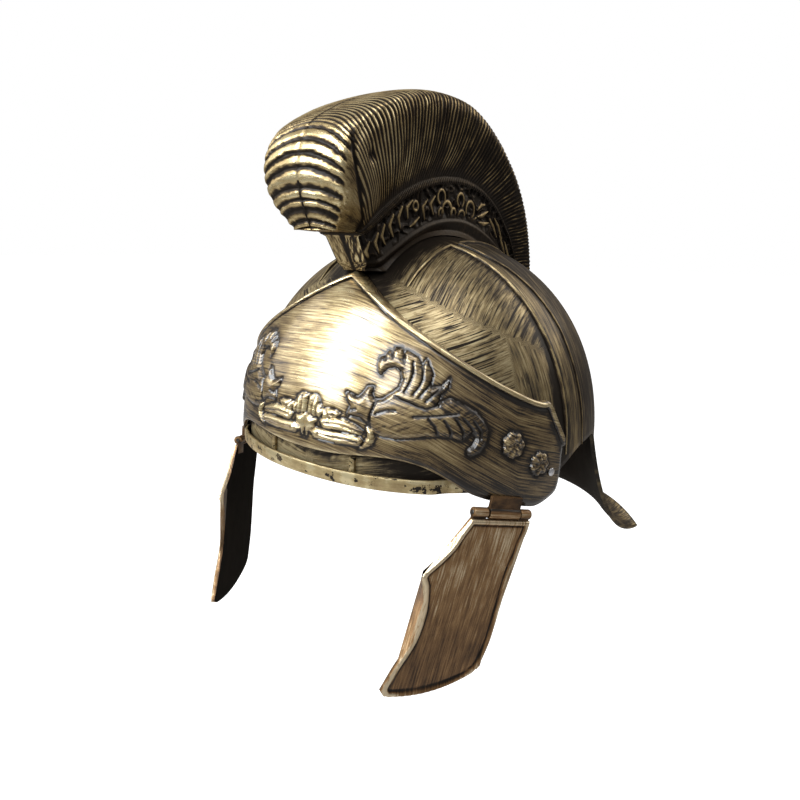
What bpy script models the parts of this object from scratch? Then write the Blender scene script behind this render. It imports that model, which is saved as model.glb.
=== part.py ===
"""Warrior helmet with a moulded crest, a brow plate in relief and two hinged cheek guards.

The helmet faces -Y, +Z is up and +X is the wearer's left. The origin is the centre of the
head opening, level with the lower edge of the front rim. Blender units are metres. The tables
below are in centimetres and are scaled by CM where they are used.
"""
import math

import bmesh
import bpy
from mathutils import Vector

CM = 0.01

# Dome: a rounded shell whose front half is a little shorter than its rear half
DOME_HALF_WIDTH = 0.0960
DOME_FRONT = 0.0956
DOME_REAR = 0.1069
DOME_RISE = 0.1129
PLAN_POWER = 2.22
SIDE_POWER = 2.10
WALL = 0.0023
DOME_COLUMNS = 40
DOME_ROWS = 10
EAR_RIM_LIFT = 0.0090
NECK_RIM_FALL = 0.0115

# Neck guard: continues the rear wall and flares out to two low corners
NECK_HALF_SPAN = 75.0
NECK_ROWS = 6
NECK_CORNER_X = 0.1082
NECK_RIM_Y = 0.1403
NECK_RIM_SWEEP = 0.0266
NECK_RIM_Z = -0.0595
NECK_CORNER_DROP = 0.0195

# Ribs that frame the four panels of the dome
RIB_X = 0.0275
# x and y along the two ribs that run down each side, from the panel's corner to the rim
FRONT_RIB_LINE = ((0.0275, -0.0208), (0.0480, -0.0176), (0.0700, -0.0150), (0.0900, -0.0140),
                  (0.0970, -0.0156))
REAR_RIB_LINE = ((0.0275, -0.0125), (0.0450, -0.0082), (0.0613, -0.0006), (0.0733, 0.0038),
                 (0.0970, 0.0058))
RIB_HALF_WIDTH = 0.0013
RIB_HEIGHT = 0.0014
RIB_ROOT = 0.0010
RIB_STEPS = 9

# Front rim: a band that stands off the recessed wall, with two small webs behind it
BAND_FOOT = 0.0016
BAND_TOP = 0.0080
BAND_REACH = 0.0036
BAND_REACH_TUCKED = 0.0017
BAND_THICKNESS = 0.0014
BAND_FULL_TO = 34.5
BAND_TUCKED_AT = 40.5
BAND_END = 49.0
BAND_STEPS = 12
WEB_X = 0.0252
WEB_HALF_WIDTH = 0.0013
WEB_TOP = 0.0220

# Brow plate: stands off the dome, with a beaded edge
PLATE_INNER = 0.0022
PLATE_OUTER = 0.0042
PLATE_BEAD = 0.0054
PLATE_SEAT = 0.0005
EDGE_STEPS = (0.0, 0.0010, 0.0022, 0.0032)
PLATE_FIELD_ROWS = 3
# columns: azimuth and height of the lower edge, azimuth and height of the upper edge
BROW_EDGES = (
    (0, 1.50, 0, 9.45), (6, 1.53, 6, 9.05), (12, 1.60, 12, 8.60), (18, 1.68, 18, 8.12),
    (24, 1.69, 24, 7.60), (30, 1.55, 30, 7.12), (35, 1.27, 35, 6.70), (40, 0.83, 40, 6.28),
    (45, 0.30, 45, 5.85), (50, -0.08, 50, 5.42), (55, -0.36, 55, 5.00), (60, -0.60, 59, 4.68),
    (64, -0.80, 63, 4.38), (68, -0.90, 67, 4.10), (72.4, -0.72, 70, 3.93),
    (75.6, -0.22, 72.5, 3.80), (77.4, 0.55, 74.9, 2.85), (78.3, 1.25, 78.1, 1.98),
)

# Relief on the brow plate, as tapering strokes: (azimuth, height, width) along each one
RELIEF_HEIGHT = 0.0016
RELIEF_ROOT = 0.0010
RELIEF_STROKES = (
    ((11.6, 3.32, 0.20), (14.0, 3.62, 0.62), (19.5, 3.85, 0.80)),
    ((14.2, 3.95, 0.42), (10.9, 4.36, 0.06)),
    ((16.6, 4.05, 0.40), (17.9, 4.70, 0.06)),
    ((19.0, 3.50, 0.85), (25.0, 3.50, 1.50), (31.0, 3.45, 1.45), (36.5, 3.30, 1.20)),
    ((35.5, 3.30, 1.10), (41.5, 3.28, 1.00), (45.6, 2.98, 0.80), (47.8, 2.50, 0.52),
     (46.9, 2.10, 0.30), (45.0, 2.15, 0.08)),
    ((25.0, 4.10, 0.80), (27.0, 4.90, 0.66), (27.0, 5.55, 0.62), (24.6, 6.05, 0.58),
     (21.2, 6.02, 0.50), (19.6, 5.70, 0.34), (20.0, 5.28, 0.08)),
    ((28.0, 4.20, 0.60), (31.6, 5.00, 0.50), (33.6, 5.95, 0.06)),
    ((29.5, 4.00, 0.60), (36.0, 4.65, 0.48), (40.0, 5.25, 0.06)),
    ((12.2, 3.15, 0.16), (15.6, 3.05, 0.26), (18.6, 2.88, 0.34), (19.2, 2.50, 0.30),
     (16.2, 2.04, 0.06)),
    ((3.0, 2.85, 0.40), (9.6, 2.86, 0.40), (16.6, 2.72, 0.30)),
    ((1.2, 2.38, 0.46), (8.8, 2.36, 0.42), (16.2, 2.36, 0.30)),
    ((2.4, 3.02, 0.40), (2.2, 3.45, 0.60), (1.4, 4.00, 0.20)),
    ((3.8, 3.20, 0.40), (7.2, 3.30, 0.44), (9.8, 3.36, 0.10)),
)
ROSETTES = ((58.4, 2.28, 0.54), (67.4, 1.22, 0.52))
ROSETTE_PETALS = 6
ROSETTE_HEIGHT = 0.0020

# Rivets that hold the brow plate at the ears
RIVET_AZIMUTH = 71.7
RIVET_Z = 0.0068
RIVET_HEAD = 0.0020
RIVET_HOLE = 0.0013
RIVET_SHANK = 0.0010
RIVET_DOME = 0.0011

# Cheek guards hang on a hinge whose axis runs back, out and a little down
HINGE_CENTRE = Vector((0.0850, -0.0600, -0.0080))
HINGE_AXIS = Vector((0.466, 0.859, -0.217)).normalized()
GUARD_ALONG = Vector((0.475, 0.880, 0.0)).normalized()
GUARD_OUT = Vector((0.880, -0.475, 0.0)).normalized()
PIN_RADIUS = 0.0010
PIN_ENDS = (-0.0170, 0.0152)
PIN_CLEARANCE = 0.0003
KNUCKLE_RADIUS = 0.0026
KNUCKLE_HALF = 0.0084
EAR_RADIUS = 0.0023
EARS = ((-0.0166, -0.0092), (0.0092, 0.0148))
ROUND_SIDES = 14
GUARD_THICKNESS = 0.0018
GUARD_RIM_HEIGHT = 0.0010
GUARD_BOW = 0.0006
GUARD_RIM_STEPS = (0.0, 0.0008, 0.0020, 0.0028)
# distance along GUARD_ALONG and height, front and rear edge, from the hinge to the tip
GUARD_EDGES = (
    (-1.74, -0.80, 1.46, -1.52), (-2.26, -1.30, 1.34, -1.86), (-2.70, -1.86, 1.12, -2.35),
    (-3.35, -2.36, 0.90, -2.95), (-4.07, -2.90, 0.68, -3.45), (-3.97, -3.50, 0.46, -4.00),
    (-4.02, -4.60, 0.20, -5.05), (-4.34, -5.70, -0.04, -6.05), (-4.76, -6.45, -0.22, -6.75),
    (-5.24, -7.15, -0.38, -7.35), (-5.92, -8.35, -0.79, -8.45),
)
GUARD_FOOT_BULGE = 0.0050

# Crest: two moulded halves that meet on the centre plane
SEAM_GAP = 0.00015
CREST_SEAT = 0.0006
CREST_STATIONS = 40
CREST_WALL = 0.0022
FOOT_LEVEL = 0.0949
STEM_POINTS = 7
HAIR_RIDGE = 0.0009
# columns: lower edge of the holder's relief, cord, outer edge of the plume (y and z of each),
# half width of the plume, half width of the holder
CREST_SECTIONS = (
    (-6.45, 9.75, -7.30, 11.20, -9.20, 11.30, 1.66, 1.12),
    (-6.00, 9.82, -6.85, 11.35, -9.84, 12.70, 2.20, 1.13),
    (-5.50, 9.98, -6.40, 11.60, -9.98, 14.20, 2.42, 1.13),
    (-4.90, 10.28, -5.70, 12.05, -9.25, 15.52, 2.42, 1.12),
    (-4.30, 10.56, -5.00, 12.45, -7.70, 16.48, 2.38, 1.12),
    (-3.60, 10.88, -4.20, 12.90, -5.90, 17.22, 2.34, 1.12),
    (-2.70, 11.25, -3.00, 13.40, -3.90, 17.80, 2.32, 1.12),
    (-1.40, 11.66, -1.60, 13.80, -1.60, 18.05, 2.30, 1.12),
    (0.10, 11.90, 0.00, 14.05, 0.80, 17.92, 2.26, 1.12),
    (1.70, 11.92, 1.80, 14.10, 3.10, 17.15, 2.20, 1.12),
    (3.30, 11.66, 3.70, 13.80, 5.30, 15.92, 2.12, 1.12),
    (4.90, 11.15, 5.50, 13.05, 7.20, 14.42, 2.04, 1.12),
    (6.40, 10.45, 6.90, 12.00, 8.60, 12.75, 1.96, 1.12),
    (7.60, 9.55, 8.05, 10.80, 9.50, 11.10, 1.88, 1.12),
    (8.55, 8.45, 8.90, 9.35, 10.15, 9.45, 1.78, 1.10),
    (9.20, 7.20, 9.50, 7.85, 10.58, 7.85, 1.66, 1.05),
    (9.72, 5.90, 9.98, 6.35, 10.80, 6.35, 1.50, 0.98),
)

COLOURS = {
    "skull_shell": ((0.36, 0.28, 0.14), 0.42),
    "brow_plate": ((0.46, 0.38, 0.22), 0.38),
    "crest": ((0.30, 0.23, 0.12), 0.45),
    "cheek_guard": ((0.30, 0.20, 0.10), 0.45),
    "hinge_pin": ((0.12, 0.11, 0.10), 0.40),
    "rivet": ((0.78, 0.78, 0.80), 0.18),
}


def clear_scene():
    for old in list(bpy.data.objects):
        bpy.data.objects.remove(old, do_unlink=True)


def material(kind):
    found = bpy.data.materials.get(kind)
    if found:
        return found
    colour, rough = COLOURS[kind]
    made = bpy.data.materials.new(kind)
    made.use_nodes = True
    shader = made.node_tree.nodes["Principled BSDF"]
    shader.inputs["Base Color"].default_value = (*colour, 1.0)
    shader.inputs["Roughness"].default_value = rough
    shader.inputs["Metallic"].default_value = 1.0
    return made


def make_object(name, points, faces, kind, smooth=True):
    mesh = bpy.data.meshes.new(name)
    mesh.from_pydata([tuple(p) for p in points], [], faces)
    work = bmesh.new()
    work.from_mesh(mesh)
    bmesh.ops.remove_doubles(work, verts=work.verts, dist=1e-6)
    bmesh.ops.recalc_face_normals(work, faces=work.faces)
    work.to_mesh(mesh)
    work.free()
    if smooth:
        mesh.shade_smooth()
        mesh.set_sharp_from_angle(angle=math.radians(35))
    made = bpy.data.objects.new(name, mesh)
    mesh.materials.append(material(kind))
    bpy.context.scene.collection.objects.link(made)
    return made


def helper(made):
    """Hide a solid that only shapes another one."""
    made.hide_render = True
    made.display_type = "WIRE"
    return made


def combine(target, tool, operation):
    helper(tool)
    step = target.modifiers.new(tool.name, "BOOLEAN")
    step.operation = operation
    step.solver = "EXACT"
    step.object = tool
    step.use_self = operation == "UNION"


def grid_faces(rows, columns, start=0, flip=False, wrap=False):
    faces = []
    last = columns if wrap else columns - 1
    for i in range(rows - 1):
        for j in range(last):
            k = (j + 1) % columns
            quad = (start + i * columns + j, start + i * columns + k,
                    start + (i + 1) * columns + k, start + (i + 1) * columns + j)
            faces.append(tuple(reversed(quad)) if flip else quad)
    return faces


def slab(front, back):
    """Closed solid between two grids of points that have the same rows and columns."""
    rows, columns = len(front), len(front[0])
    count = rows * columns
    points = [p for row in front for p in row] + [p for row in back for p in row]
    faces = grid_faces(rows, columns) + grid_faces(rows, columns, count, flip=True)
    ring = ([(0, j) for j in range(columns)] + [(i, columns - 1) for i in range(1, rows)]
            + [(rows - 1, j) for j in range(columns - 2, -1, -1)]
            + [(i, 0) for i in range(rows - 2, 0, -1)])
    for (i, j), (m, n) in zip(ring, ring[1:] + ring[:1]):
        a, b = i * columns + j, m * columns + n
        faces.append((b, a, count + a, count + b))
    return points, faces


def tube(sections):
    """Closed solid through a list of rings with the same number of points."""
    count = len(sections[0])
    points = [p for ring in sections for p in ring]
    faces = grid_faces(len(sections), count, wrap=True)
    faces.append(tuple(reversed(range(count))))
    faces.append(tuple(range(len(points) - count, len(points))))
    return points, faces


def merge_solids(solids):
    """Put several closed solids into one list of points and faces."""
    points, faces = [], []
    for some_points, some_faces in solids:
        start = len(points)
        points += list(some_points)
        faces += [tuple(start + i for i in face) for face in some_faces]
    return points, faces


def mirror_points(points):
    return [Vector((-p[0], p[1], p[2])) for p in points]


def signed_power(value, power):
    return math.copysign(abs(value) ** power, value)


def shell_point(azimuth, height, offset=0.0):
    """Point of the dome's face, or of one that stands off it. Azimuth 0 is the front."""
    angle = math.radians(azimuth)
    rise = DOME_RISE + offset
    shrink = max(0.0, 1 - (max(height, 0.0) / rise) ** SIDE_POWER) ** (1 / SIDE_POWER)
    depth = (DOME_FRONT if math.cos(angle) > 0 else DOME_REAR) + offset
    return Vector(((DOME_HALF_WIDTH + offset) * shrink * signed_power(math.sin(angle), 2 / PLAN_POWER),
                   -depth * shrink * signed_power(math.cos(angle), 2 / PLAN_POWER), height))


def level(p, offset=0.0):
    """Below zero inside the dome, above zero outside it."""
    depth = (DOME_FRONT if p.y < 0 else DOME_REAR) + offset
    plan = (abs(p.x) / (DOME_HALF_WIDTH + offset)) ** PLAN_POWER + (abs(p.y) / depth) ** PLAN_POWER
    rise = max(p.z, 0.0) / (DOME_RISE + offset)
    return plan ** (SIDE_POWER / PLAN_POWER) + rise ** SIDE_POWER - 1


def cast(start, direction, offset=0.0):
    """Where a line from inside the dome leaves it."""
    near, far = 0.0, 0.3
    for _ in range(40):
        middle = (near + far) / 2
        if level(start + direction * middle, offset) < 0:
            near = middle
        else:
            far = middle
    return start + direction * near


def outward(p):
    """Unit normal of the dome at a point near it."""
    step = 1e-5
    slope = [level(p + Vector(e) * step) - level(p - Vector(e) * step)
             for e in ((1, 0, 0), (0, 1, 0), (0, 0, 1))]
    return Vector(slope).normalized()


def spline(rows, t):
    """Value at t, from 0 to 1, on a smooth curve through the rows of a table."""
    place = t * (len(rows) - 1)
    i = min(int(place), len(rows) - 2)
    f = place - i
    p = [rows[min(max(k, 0), len(rows) - 1)] for k in (i - 1, i, i + 1, i + 2)]
    return [0.5 * (2 * b + (c - a) * f + (2 * a - 5 * b + 4 * c - d) * f * f
                   + (3 * b - a - 3 * c + d) * f ** 3) for a, b, c, d in zip(*p)]


def ease(value, low, high):
    """Smooth step from 0 at low to 1 at high."""
    f = min(max((value - low) / (high - low), 0.0), 1.0)
    return f * f * (3 - 2 * f)


def rim_height(azimuth):
    """Height of the dome's lower edge: level in front, lifted over the ears."""
    from_front = abs((azimuth + 180) % 360 - 180)
    return (BAND_FOOT + EAR_RIM_LIFT * ease(from_front, 74, 94)
            - NECK_RIM_FALL * ease(from_front, 100, 120))


def neck_point(azimuth, t):
    """Neck guard, from the dome's rim (t 0) to its own lower edge (t 1)."""
    across = (180 - azimuth) / NECK_HALF_SPAN
    top = shell_point(azimuth, rim_height(azimuth))
    top.z = rim_height(azimuth)
    turn = top + Vector((0.0033 * across ** 3, 0.0043 + 0.0336 * across ** 2,
                         -0.050 - 0.030 * across ** 2))
    side = abs(across)
    foot = Vector((NECK_CORNER_X * across, NECK_RIM_Y - NECK_RIM_SWEEP * side ** 2,
                   NECK_RIM_Z - NECK_CORNER_DROP * side ** 5.4))
    return top * (1 - t) ** 2 + turn * 2 * t * (1 - t) + foot * t * t


def skull_surface():
    """Outer face of the dome and the neck guard as one open sheet."""
    step = 360 / DOME_COLUMNS
    azimuths = [i * step for i in range(DOME_COLUMNS)]
    points, faces = [Vector((0, 0, DOME_RISE))], []
    for row in range(1, DOME_ROWS + 1):
        rise = math.cos(row / DOME_ROWS * math.pi / 2) ** (2 / SIDE_POWER)
        for azimuth in azimuths:
            foot = rim_height(azimuth)
            points.append(shell_point(azimuth, foot + (DOME_RISE - foot) * rise))
    for j in range(DOME_COLUMNS):
        faces.append((0, 1 + j, 1 + (j + 1) % DOME_COLUMNS))
    faces += grid_faces(DOME_ROWS, DOME_COLUMNS, 1, wrap=True)
    rim_start = 1 + (DOME_ROWS - 1) * DOME_COLUMNS
    rear = [j for j, a in enumerate(azimuths) if abs(a - 180) <= NECK_HALF_SPAN]
    above = [rim_start + j for j in rear]
    for row in range(1, NECK_ROWS + 1):
        here = []
        for j in rear:
            here.append(len(points))
            points.append(neck_point(azimuths[j], row / NECK_ROWS))
        for a, b, c, d in zip(above, above[1:], here[1:], here):
            faces.append((a, b, c, d))
        above = here
    return points, faces


def rib(path):
    """Raised rib along points of the dome's face."""
    rings = []
    for i, p in enumerate(path):
        ahead = (path[min(i + 1, len(path) - 1)] - path[max(i - 1, 0)]).normalized()
        up = outward(p)
        side = up.cross(ahead).normalized()
        rings.append([p - side * RIB_HALF_WIDTH - up * RIB_ROOT, p - side * RIB_HALF_WIDTH * 0.5
                      + up * RIB_HEIGHT, p + side * RIB_HALF_WIDTH * 0.5 + up * RIB_HEIGHT,
                      p + side * RIB_HALF_WIDTH - up * RIB_ROOT])
    return tube(rings)


def line_y(line, x):
    """y of a rib's line at a distance x from the centre plane."""
    for (x0, y0), (x1, y1) in zip(line, line[1:]):
        if x <= x1:
            return y0 + (y1 - y0) * max(x - x0, 0) / (x1 - x0)
    return line[-1][1]


def across_path(x_side, line):
    """Path from the panel's top corner down the side of the dome."""
    path = []
    top = cast(Vector((x_side * line[0][0], line[0][1], 0)), Vector((0, 0, 1)))
    start = math.atan2(abs(top.x), top.z)
    for i in range(RIB_STEPS + 1):
        angle = start + (math.radians(82) - start) * i / RIB_STEPS
        y = line[0][1]
        for _ in range(5):
            p = cast(Vector((0, y, 0)), Vector((x_side * math.sin(angle), 0, math.cos(angle))))
            y = line_y(line, abs(p.x))
        path.append(p)
    return path


def along_path(x_side, y_top, end_angle):
    """Path from the panel's top corner towards the front or the rear."""
    path = []
    start = math.atan2(y_top, DOME_RISE)
    for i in range(RIB_STEPS):
        angle = start + (math.radians(end_angle) - start) * i / (RIB_STEPS - 1)
        path.append(cast(Vector((x_side * RIB_X, 0, 0)), Vector((0, math.sin(angle), math.cos(angle)))))
    return path


def band_reach(azimuth):
    fade = min(max((abs(azimuth) - BAND_FULL_TO) / (BAND_TUCKED_AT - BAND_FULL_TO), 0.0), 1.0)
    return BAND_REACH + (BAND_REACH_TUCKED - BAND_REACH) * fade


def front_band():
    """L-shaped rim in front: a floor that leaves the wall and a band that stands on it."""
    rings = []
    for i in range(BAND_STEPS * 2 + 1):
        azimuth = BAND_END * (i / BAND_STEPS - 1)
        reach = band_reach(azimuth)
        inner = max(reach - BAND_THICKNESS, 0.0002)
        middle = (BAND_FOOT + BAND_TOP) / 2

        def at(offset, height):
            p = shell_point(azimuth, 0.0, offset)
            p.z = height
            return p

        rings.append([at(-0.0012, BAND_FOOT + 0.0002), at(reach, BAND_FOOT),
                      at(reach + 0.0002, middle), at(reach, BAND_TOP), at(inner, BAND_TOP),
                      at(inner, BAND_FOOT + BAND_THICKNESS),
                      at(-0.0012, BAND_FOOT + BAND_THICKNESS)])
    return tube(rings)


def web(x_side):
    """Small upright web between the recessed wall and the back of the band."""
    rings = []
    for height in (BAND_THICKNESS * 0.5, WEB_TOP * 0.6):
        ring = []
        for dx, offset in ((-1, -0.0010), (1, -0.0010), (1, PLATE_INNER - 0.0004), (-1, PLATE_INNER - 0.0004)):
            x = x_side * WEB_X + dx * WEB_HALF_WIDTH
            p = cast(Vector((x, 0, height)), Vector((0, -1, 0)), offset)
            ring.append(p)
        rings.append(ring)
    return tube(rings)


def build_skull():
    points, faces = skull_surface()
    skull = make_object("skull_shell", points, faces, "skull_shell")
    wall = skull.modifiers.new("wall", "SOLIDIFY")
    wall.thickness = WALL
    wall.offset = -1
    wall.use_even_offset = True
    trims = []
    for side in (1, -1):
        trims.append(rib(across_path(side, FRONT_RIB_LINE)))
        trims.append(rib(across_path(side, REAR_RIB_LINE)))
        trims.append(rib(along_path(side, FRONT_RIB_LINE[0][1], -33)))
        trims.append(rib(along_path(side, REAR_RIB_LINE[0][1], 78)))
        trims.append(web(side))
    trims.append(front_band())
    trim_points, trim_faces = merge_solids(trims)
    combine(skull, make_object("skull_trim", trim_points, trim_faces, "skull_shell"), "UNION")
    for side in (1, -1):
        combine(skull, rivet_cutter("shell_rivet_hole", side), "DIFFERENCE")
    return skull


def brow_column(row):
    """Grid column of the brow plate: positions in azimuth and height with their offsets."""
    a_low, z_low, a_up, z_up = row
    low, up = Vector((a_low, z_low * CM)), Vector((a_up, z_up * CM))
    girth = 2 * math.pi * DOME_HALF_WIDTH / 360
    length = math.hypot((a_up - a_low) * girth, (z_up - z_low) * CM)
    outers = (PLATE_OUTER, PLATE_BEAD, PLATE_BEAD, PLATE_OUTER)
    seats = (PLATE_SEAT, PLATE_SEAT, PLATE_SEAT, PLATE_INNER)
    column = []
    for step, outer in zip(EDGE_STEPS, outers):
        column.append((step / length, outer, PLATE_INNER))
    first, last = EDGE_STEPS[-1] / length, 1 - EDGE_STEPS[-1] / length
    for k in range(1, PLATE_FIELD_ROWS):
        column.append((first + (last - first) * k / PLATE_FIELD_ROWS, PLATE_OUTER, PLATE_INNER))
    for step, outer, seat in reversed(list(zip(EDGE_STEPS, outers, seats))):
        column.append((1 - step / length, outer, seat))
    places = []
    for f, outer, inner in column:
        place = low.lerp(up, f)
        places.append((place.x, place.y, outer, inner))
    return places


def brow_grid():
    columns = [brow_column(row) for row in BROW_EDGES]
    mirrored = [[(-a, z, outer, inner) for a, z, outer, inner in column] for column in columns[1:]]
    columns = list(reversed(mirrored)) + columns
    front = [[shell_point(a, z, outer) for a, z, outer, _ in column] for column in columns]
    back = [[shell_point(a, z, inner) for a, z, _, inner in column] for column in columns]
    return slab(front, back)


def stroke(rows, side):
    """Tapering ridge on the brow plate along a few places in azimuth and height."""
    girth = 2 * math.pi * DOME_HALF_WIDTH / 360 / CM
    flat = [Vector((a * girth, z)) for a, z, _ in rows]
    rings = []
    for i, (p, row) in enumerate(zip(flat, rows)):
        ahead = (flat[min(i + 1, len(flat) - 1)] - flat[max(i - 1, 0)]).normalized()
        across = Vector((-ahead.y, ahead.x))
        ring = []
        for place, offset in ((-0.5, -RELIEF_ROOT), (-0.26, RELIEF_HEIGHT), (0.26, RELIEF_HEIGHT),
                              (0.5, -RELIEF_ROOT)):
            q = p + across * place * row[2]
            ring.append(shell_point(side * q.x / girth, q.y * CM, PLATE_OUTER + offset))
        rings.append(ring)
    return tube(rings)


def rosette(azimuth, height, radius, side):
    """Round boss whose edge is cut into petals."""
    girth = 2 * math.pi * DOME_HALF_WIDTH / 360 / CM
    rings = []
    for scale, offset in ((1.0, -RELIEF_ROOT), (1.0, 0.4 * ROSETTE_HEIGHT), (0.55, ROSETTE_HEIGHT),
                          (0.2, 0.6 * ROSETTE_HEIGHT)):
        ring = []
        for k in range(ROSETTE_PETALS * 2):
            turn = math.pi * k / ROSETTE_PETALS
            reach = radius * scale * (1.0 if k % 2 else 0.82)
            ring.append(shell_point(side * (azimuth + reach * math.cos(turn) / girth),
                                    (height + reach * math.sin(turn)) * CM, PLATE_OUTER + offset))
        rings.append(ring)
    return tube(rings)


def hinge_frame(side):
    """Centre, axis, outward and upward directions of a hinge; side is 1 or -1."""
    flip = Vector((side, 1, 1))
    centre = HINGE_CENTRE * flip
    axis = HINGE_AXIS * flip
    out = GUARD_OUT * flip
    up = out.cross(axis) * side
    return centre, axis, out, up.normalized()


def barrel(side, radius, low, high, sides=ROUND_SIDES):
    """Round bar along a hinge's axis, between two distances from its centre."""
    centre, axis, out, up = hinge_frame(side)
    rings = []
    for distance in (low, high):
        middle = centre + axis * distance
        rings.append([middle + (out * math.cos(2 * math.pi * k / sides)
                                + up * math.sin(2 * math.pi * k / sides)) * radius
                      for k in range(sides)])
    return tube(rings)


def hinge_block(side, low, high, near, far, depth):
    """Block beside a hinge's axis; near and far are distances up from it."""
    centre, axis, out, up = hinge_frame(side)
    rings = []
    for distance in (low, high):
        middle = centre + axis * distance
        rings.append([middle + out * depth * a + up * b
                      for a, b in ((-1, near), (1, near), (1, far), (-1, far))])
    return tube(rings)


def knuckle(side):
    """Middle knuckle of the hinge, with a neck that runs up into the brow plate."""
    name = "knuckle" + ("_left" if side > 0 else "_right")
    points, faces = barrel(side, KNUCKLE_RADIUS, -KNUCKLE_HALF, KNUCKLE_HALF)
    body = make_object(name, points, faces, "brow_plate")
    points, faces = hinge_block(side, -KNUCKLE_HALF + 0.0004, KNUCKLE_HALF - 0.0004,
                                0.0, 0.0078, 0.0009)
    combine(body, make_object(name + "_neck", points, faces, "brow_plate"), "UNION")
    return body


def rivet_axis(side):
    """A place under the rivet's head and its direction, straight out of the dome."""
    p = shell_point(side * RIVET_AZIMUTH, RIVET_Z)
    return p, outward(p)


def turned(origin, axis, profile, sides=12):
    """Solid of revolution: profile is a list of (radius, distance along the axis)."""
    side = axis.cross(Vector((0, 0, 1))).normalized()
    up = side.cross(axis).normalized()
    rings = []
    for radius, distance in profile:
        rings.append([origin + axis * distance
                      + (side * math.cos(2 * math.pi * k / sides)
                         + up * math.sin(2 * math.pi * k / sides)) * radius for k in range(sides)])
    return tube(rings)


def rivet_cutter(name, side):
    origin, axis = rivet_axis(side)
    points, faces = turned(origin, axis, ((RIVET_HOLE, -0.006), (RIVET_HOLE, 0.012)))
    return make_object(name + ("_left" if side > 0 else "_right"), points, faces, "rivet")


def build_brow():
    points, faces = brow_grid()
    brow = make_object("brow_plate", points, faces, "brow_plate")
    reliefs = []
    for side in (1, -1):
        reliefs += [stroke(rows, side) for rows in RELIEF_STROKES]
        reliefs += [rosette(*place, side) for place in ROSETTES]
    relief_points, relief_faces = merge_solids(reliefs)
    combine(brow, make_object("brow_relief", relief_points, relief_faces, "brow_plate"), "UNION")
    for side in (1, -1):
        combine(brow, knuckle(side), "UNION")
        bore = barrel(side, PIN_RADIUS + PIN_CLEARANCE, -0.012, 0.012)
        combine(brow, make_object("pin_bore_left" if side > 0 else "pin_bore_right", *bore,
                                  "hinge_pin"), "DIFFERENCE")
        combine(brow, rivet_cutter("plate_rivet_hole", side), "DIFFERENCE")
    return brow


def build_rivet(side):
    origin, axis = rivet_axis(side)
    seat = PLATE_OUTER + 0.0004
    profile = ((RIVET_SHANK, -WALL - 0.0010), (RIVET_SHANK, seat), (RIVET_HEAD, seat),
               (RIVET_HEAD * 0.92, seat + RIVET_DOME * 0.5), (RIVET_HEAD * 0.5, seat + RIVET_DOME))
    points, faces = turned(origin, axis, profile)
    return make_object("rivet_left" if side > 0 else "rivet_right", points, faces, "rivet")


def guard_point(side, along, height, out):
    """Place on a cheek guard: along its width, at a height, and out of its face."""
    bow = GUARD_BOW * (1 - ((along / CM + 2.2) / 4.0) ** 2)
    p = (Vector((HINGE_CENTRE.x, HINGE_CENTRE.y, 0)) + GUARD_ALONG * along
         + GUARD_OUT * (out + bow) + Vector((0, 0, height)))
    return Vector((side * p.x, p.y, p.z))


def guard_grid(side):
    rows = [list(row) for row in GUARD_EDGES]
    top, second = rows[0], rows[1]
    bar = [[a + (b - a) * f for a, b in zip(top, second)] for f in (0.0, 0.5)]
    foot = [[a + (b - a) * f for a, b in zip(rows[-2], rows[-1])] for f in (0.55, 0.80, 1.0)]
    rows = bar + rows[1:-1] + foot
    heights = [GUARD_RIM_HEIGHT] * 2 + [0.0] * (len(rows) - 4) + [GUARD_RIM_HEIGHT] * 2
    front, back = [], []
    for i, (row, rim) in enumerate(zip(rows, heights)):
        a = Vector((row[0], row[1])) * CM
        b = Vector((row[2], row[3])) * CM
        width = (b - a).length
        places = [step / width for step in GUARD_RIM_STEPS]
        raised = [0.3 * GUARD_RIM_HEIGHT, GUARD_RIM_HEIGHT, GUARD_RIM_HEIGHT, 0.0]
        first, last = places[-1], 1 - places[-1]
        inner = [(first + last) / 2]
        places = places + inner + [1 - f for f in reversed(places)]
        raised = raised + [0.0] + list(reversed(raised))
        bulge = GUARD_FOOT_BULGE * max(0.0, (i - len(rows) + 5) / 4) ** 2
        front_row, back_row = [], []
        for f, high in zip(places, raised):
            q = a.lerp(b, f)
            drop = bulge * 4 * f * (1 - f)
            front_row.append(guard_point(side, q.x, q.y - drop, max(high, rim) + GUARD_THICKNESS / 2))
            back_row.append(guard_point(side, q.x, q.y - drop, -GUARD_THICKNESS / 2))
        front.append(front_row)
        back.append(back_row)
    return slab(front, back)


def build_guard(side):
    name = "cheek_guard_left" if side > 0 else "cheek_guard_right"
    centre = hinge_frame(side)[0]
    points, faces = guard_grid(side)
    guard = make_object(name, [Vector(p) - centre for p in points], faces, "cheek_guard")
    guard.location = centre
    for number, (low, high) in enumerate(EARS):
        ear = make_object(f"{name}_ear_{number}", *barrel(side, EAR_RADIUS, low, high), "cheek_guard")
        arm = make_object(f"{name}_arm_{number}",
                          *hinge_block(side, low + 0.0003, high - 0.0003, -0.0085, 0.0, 0.0008),
                          "cheek_guard")
        combine(guard, ear, "UNION")
        combine(guard, arm, "UNION")
    bore = make_object(name + "_bore", *barrel(side, PIN_RADIUS + PIN_CLEARANCE, -0.03, 0.03),
                       "hinge_pin")
    combine(guard, bore, "DIFFERENCE")
    return guard


def build_pin(side):
    name = "hinge_pin_left" if side > 0 else "hinge_pin_right"
    centre = hinge_frame(side)[0]
    points, faces = barrel(side, PIN_RADIUS, *PIN_ENDS, 10)
    pin = make_object(name, [p - centre for p in points], faces, "hinge_pin")
    pin.location = centre
    return pin


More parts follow.
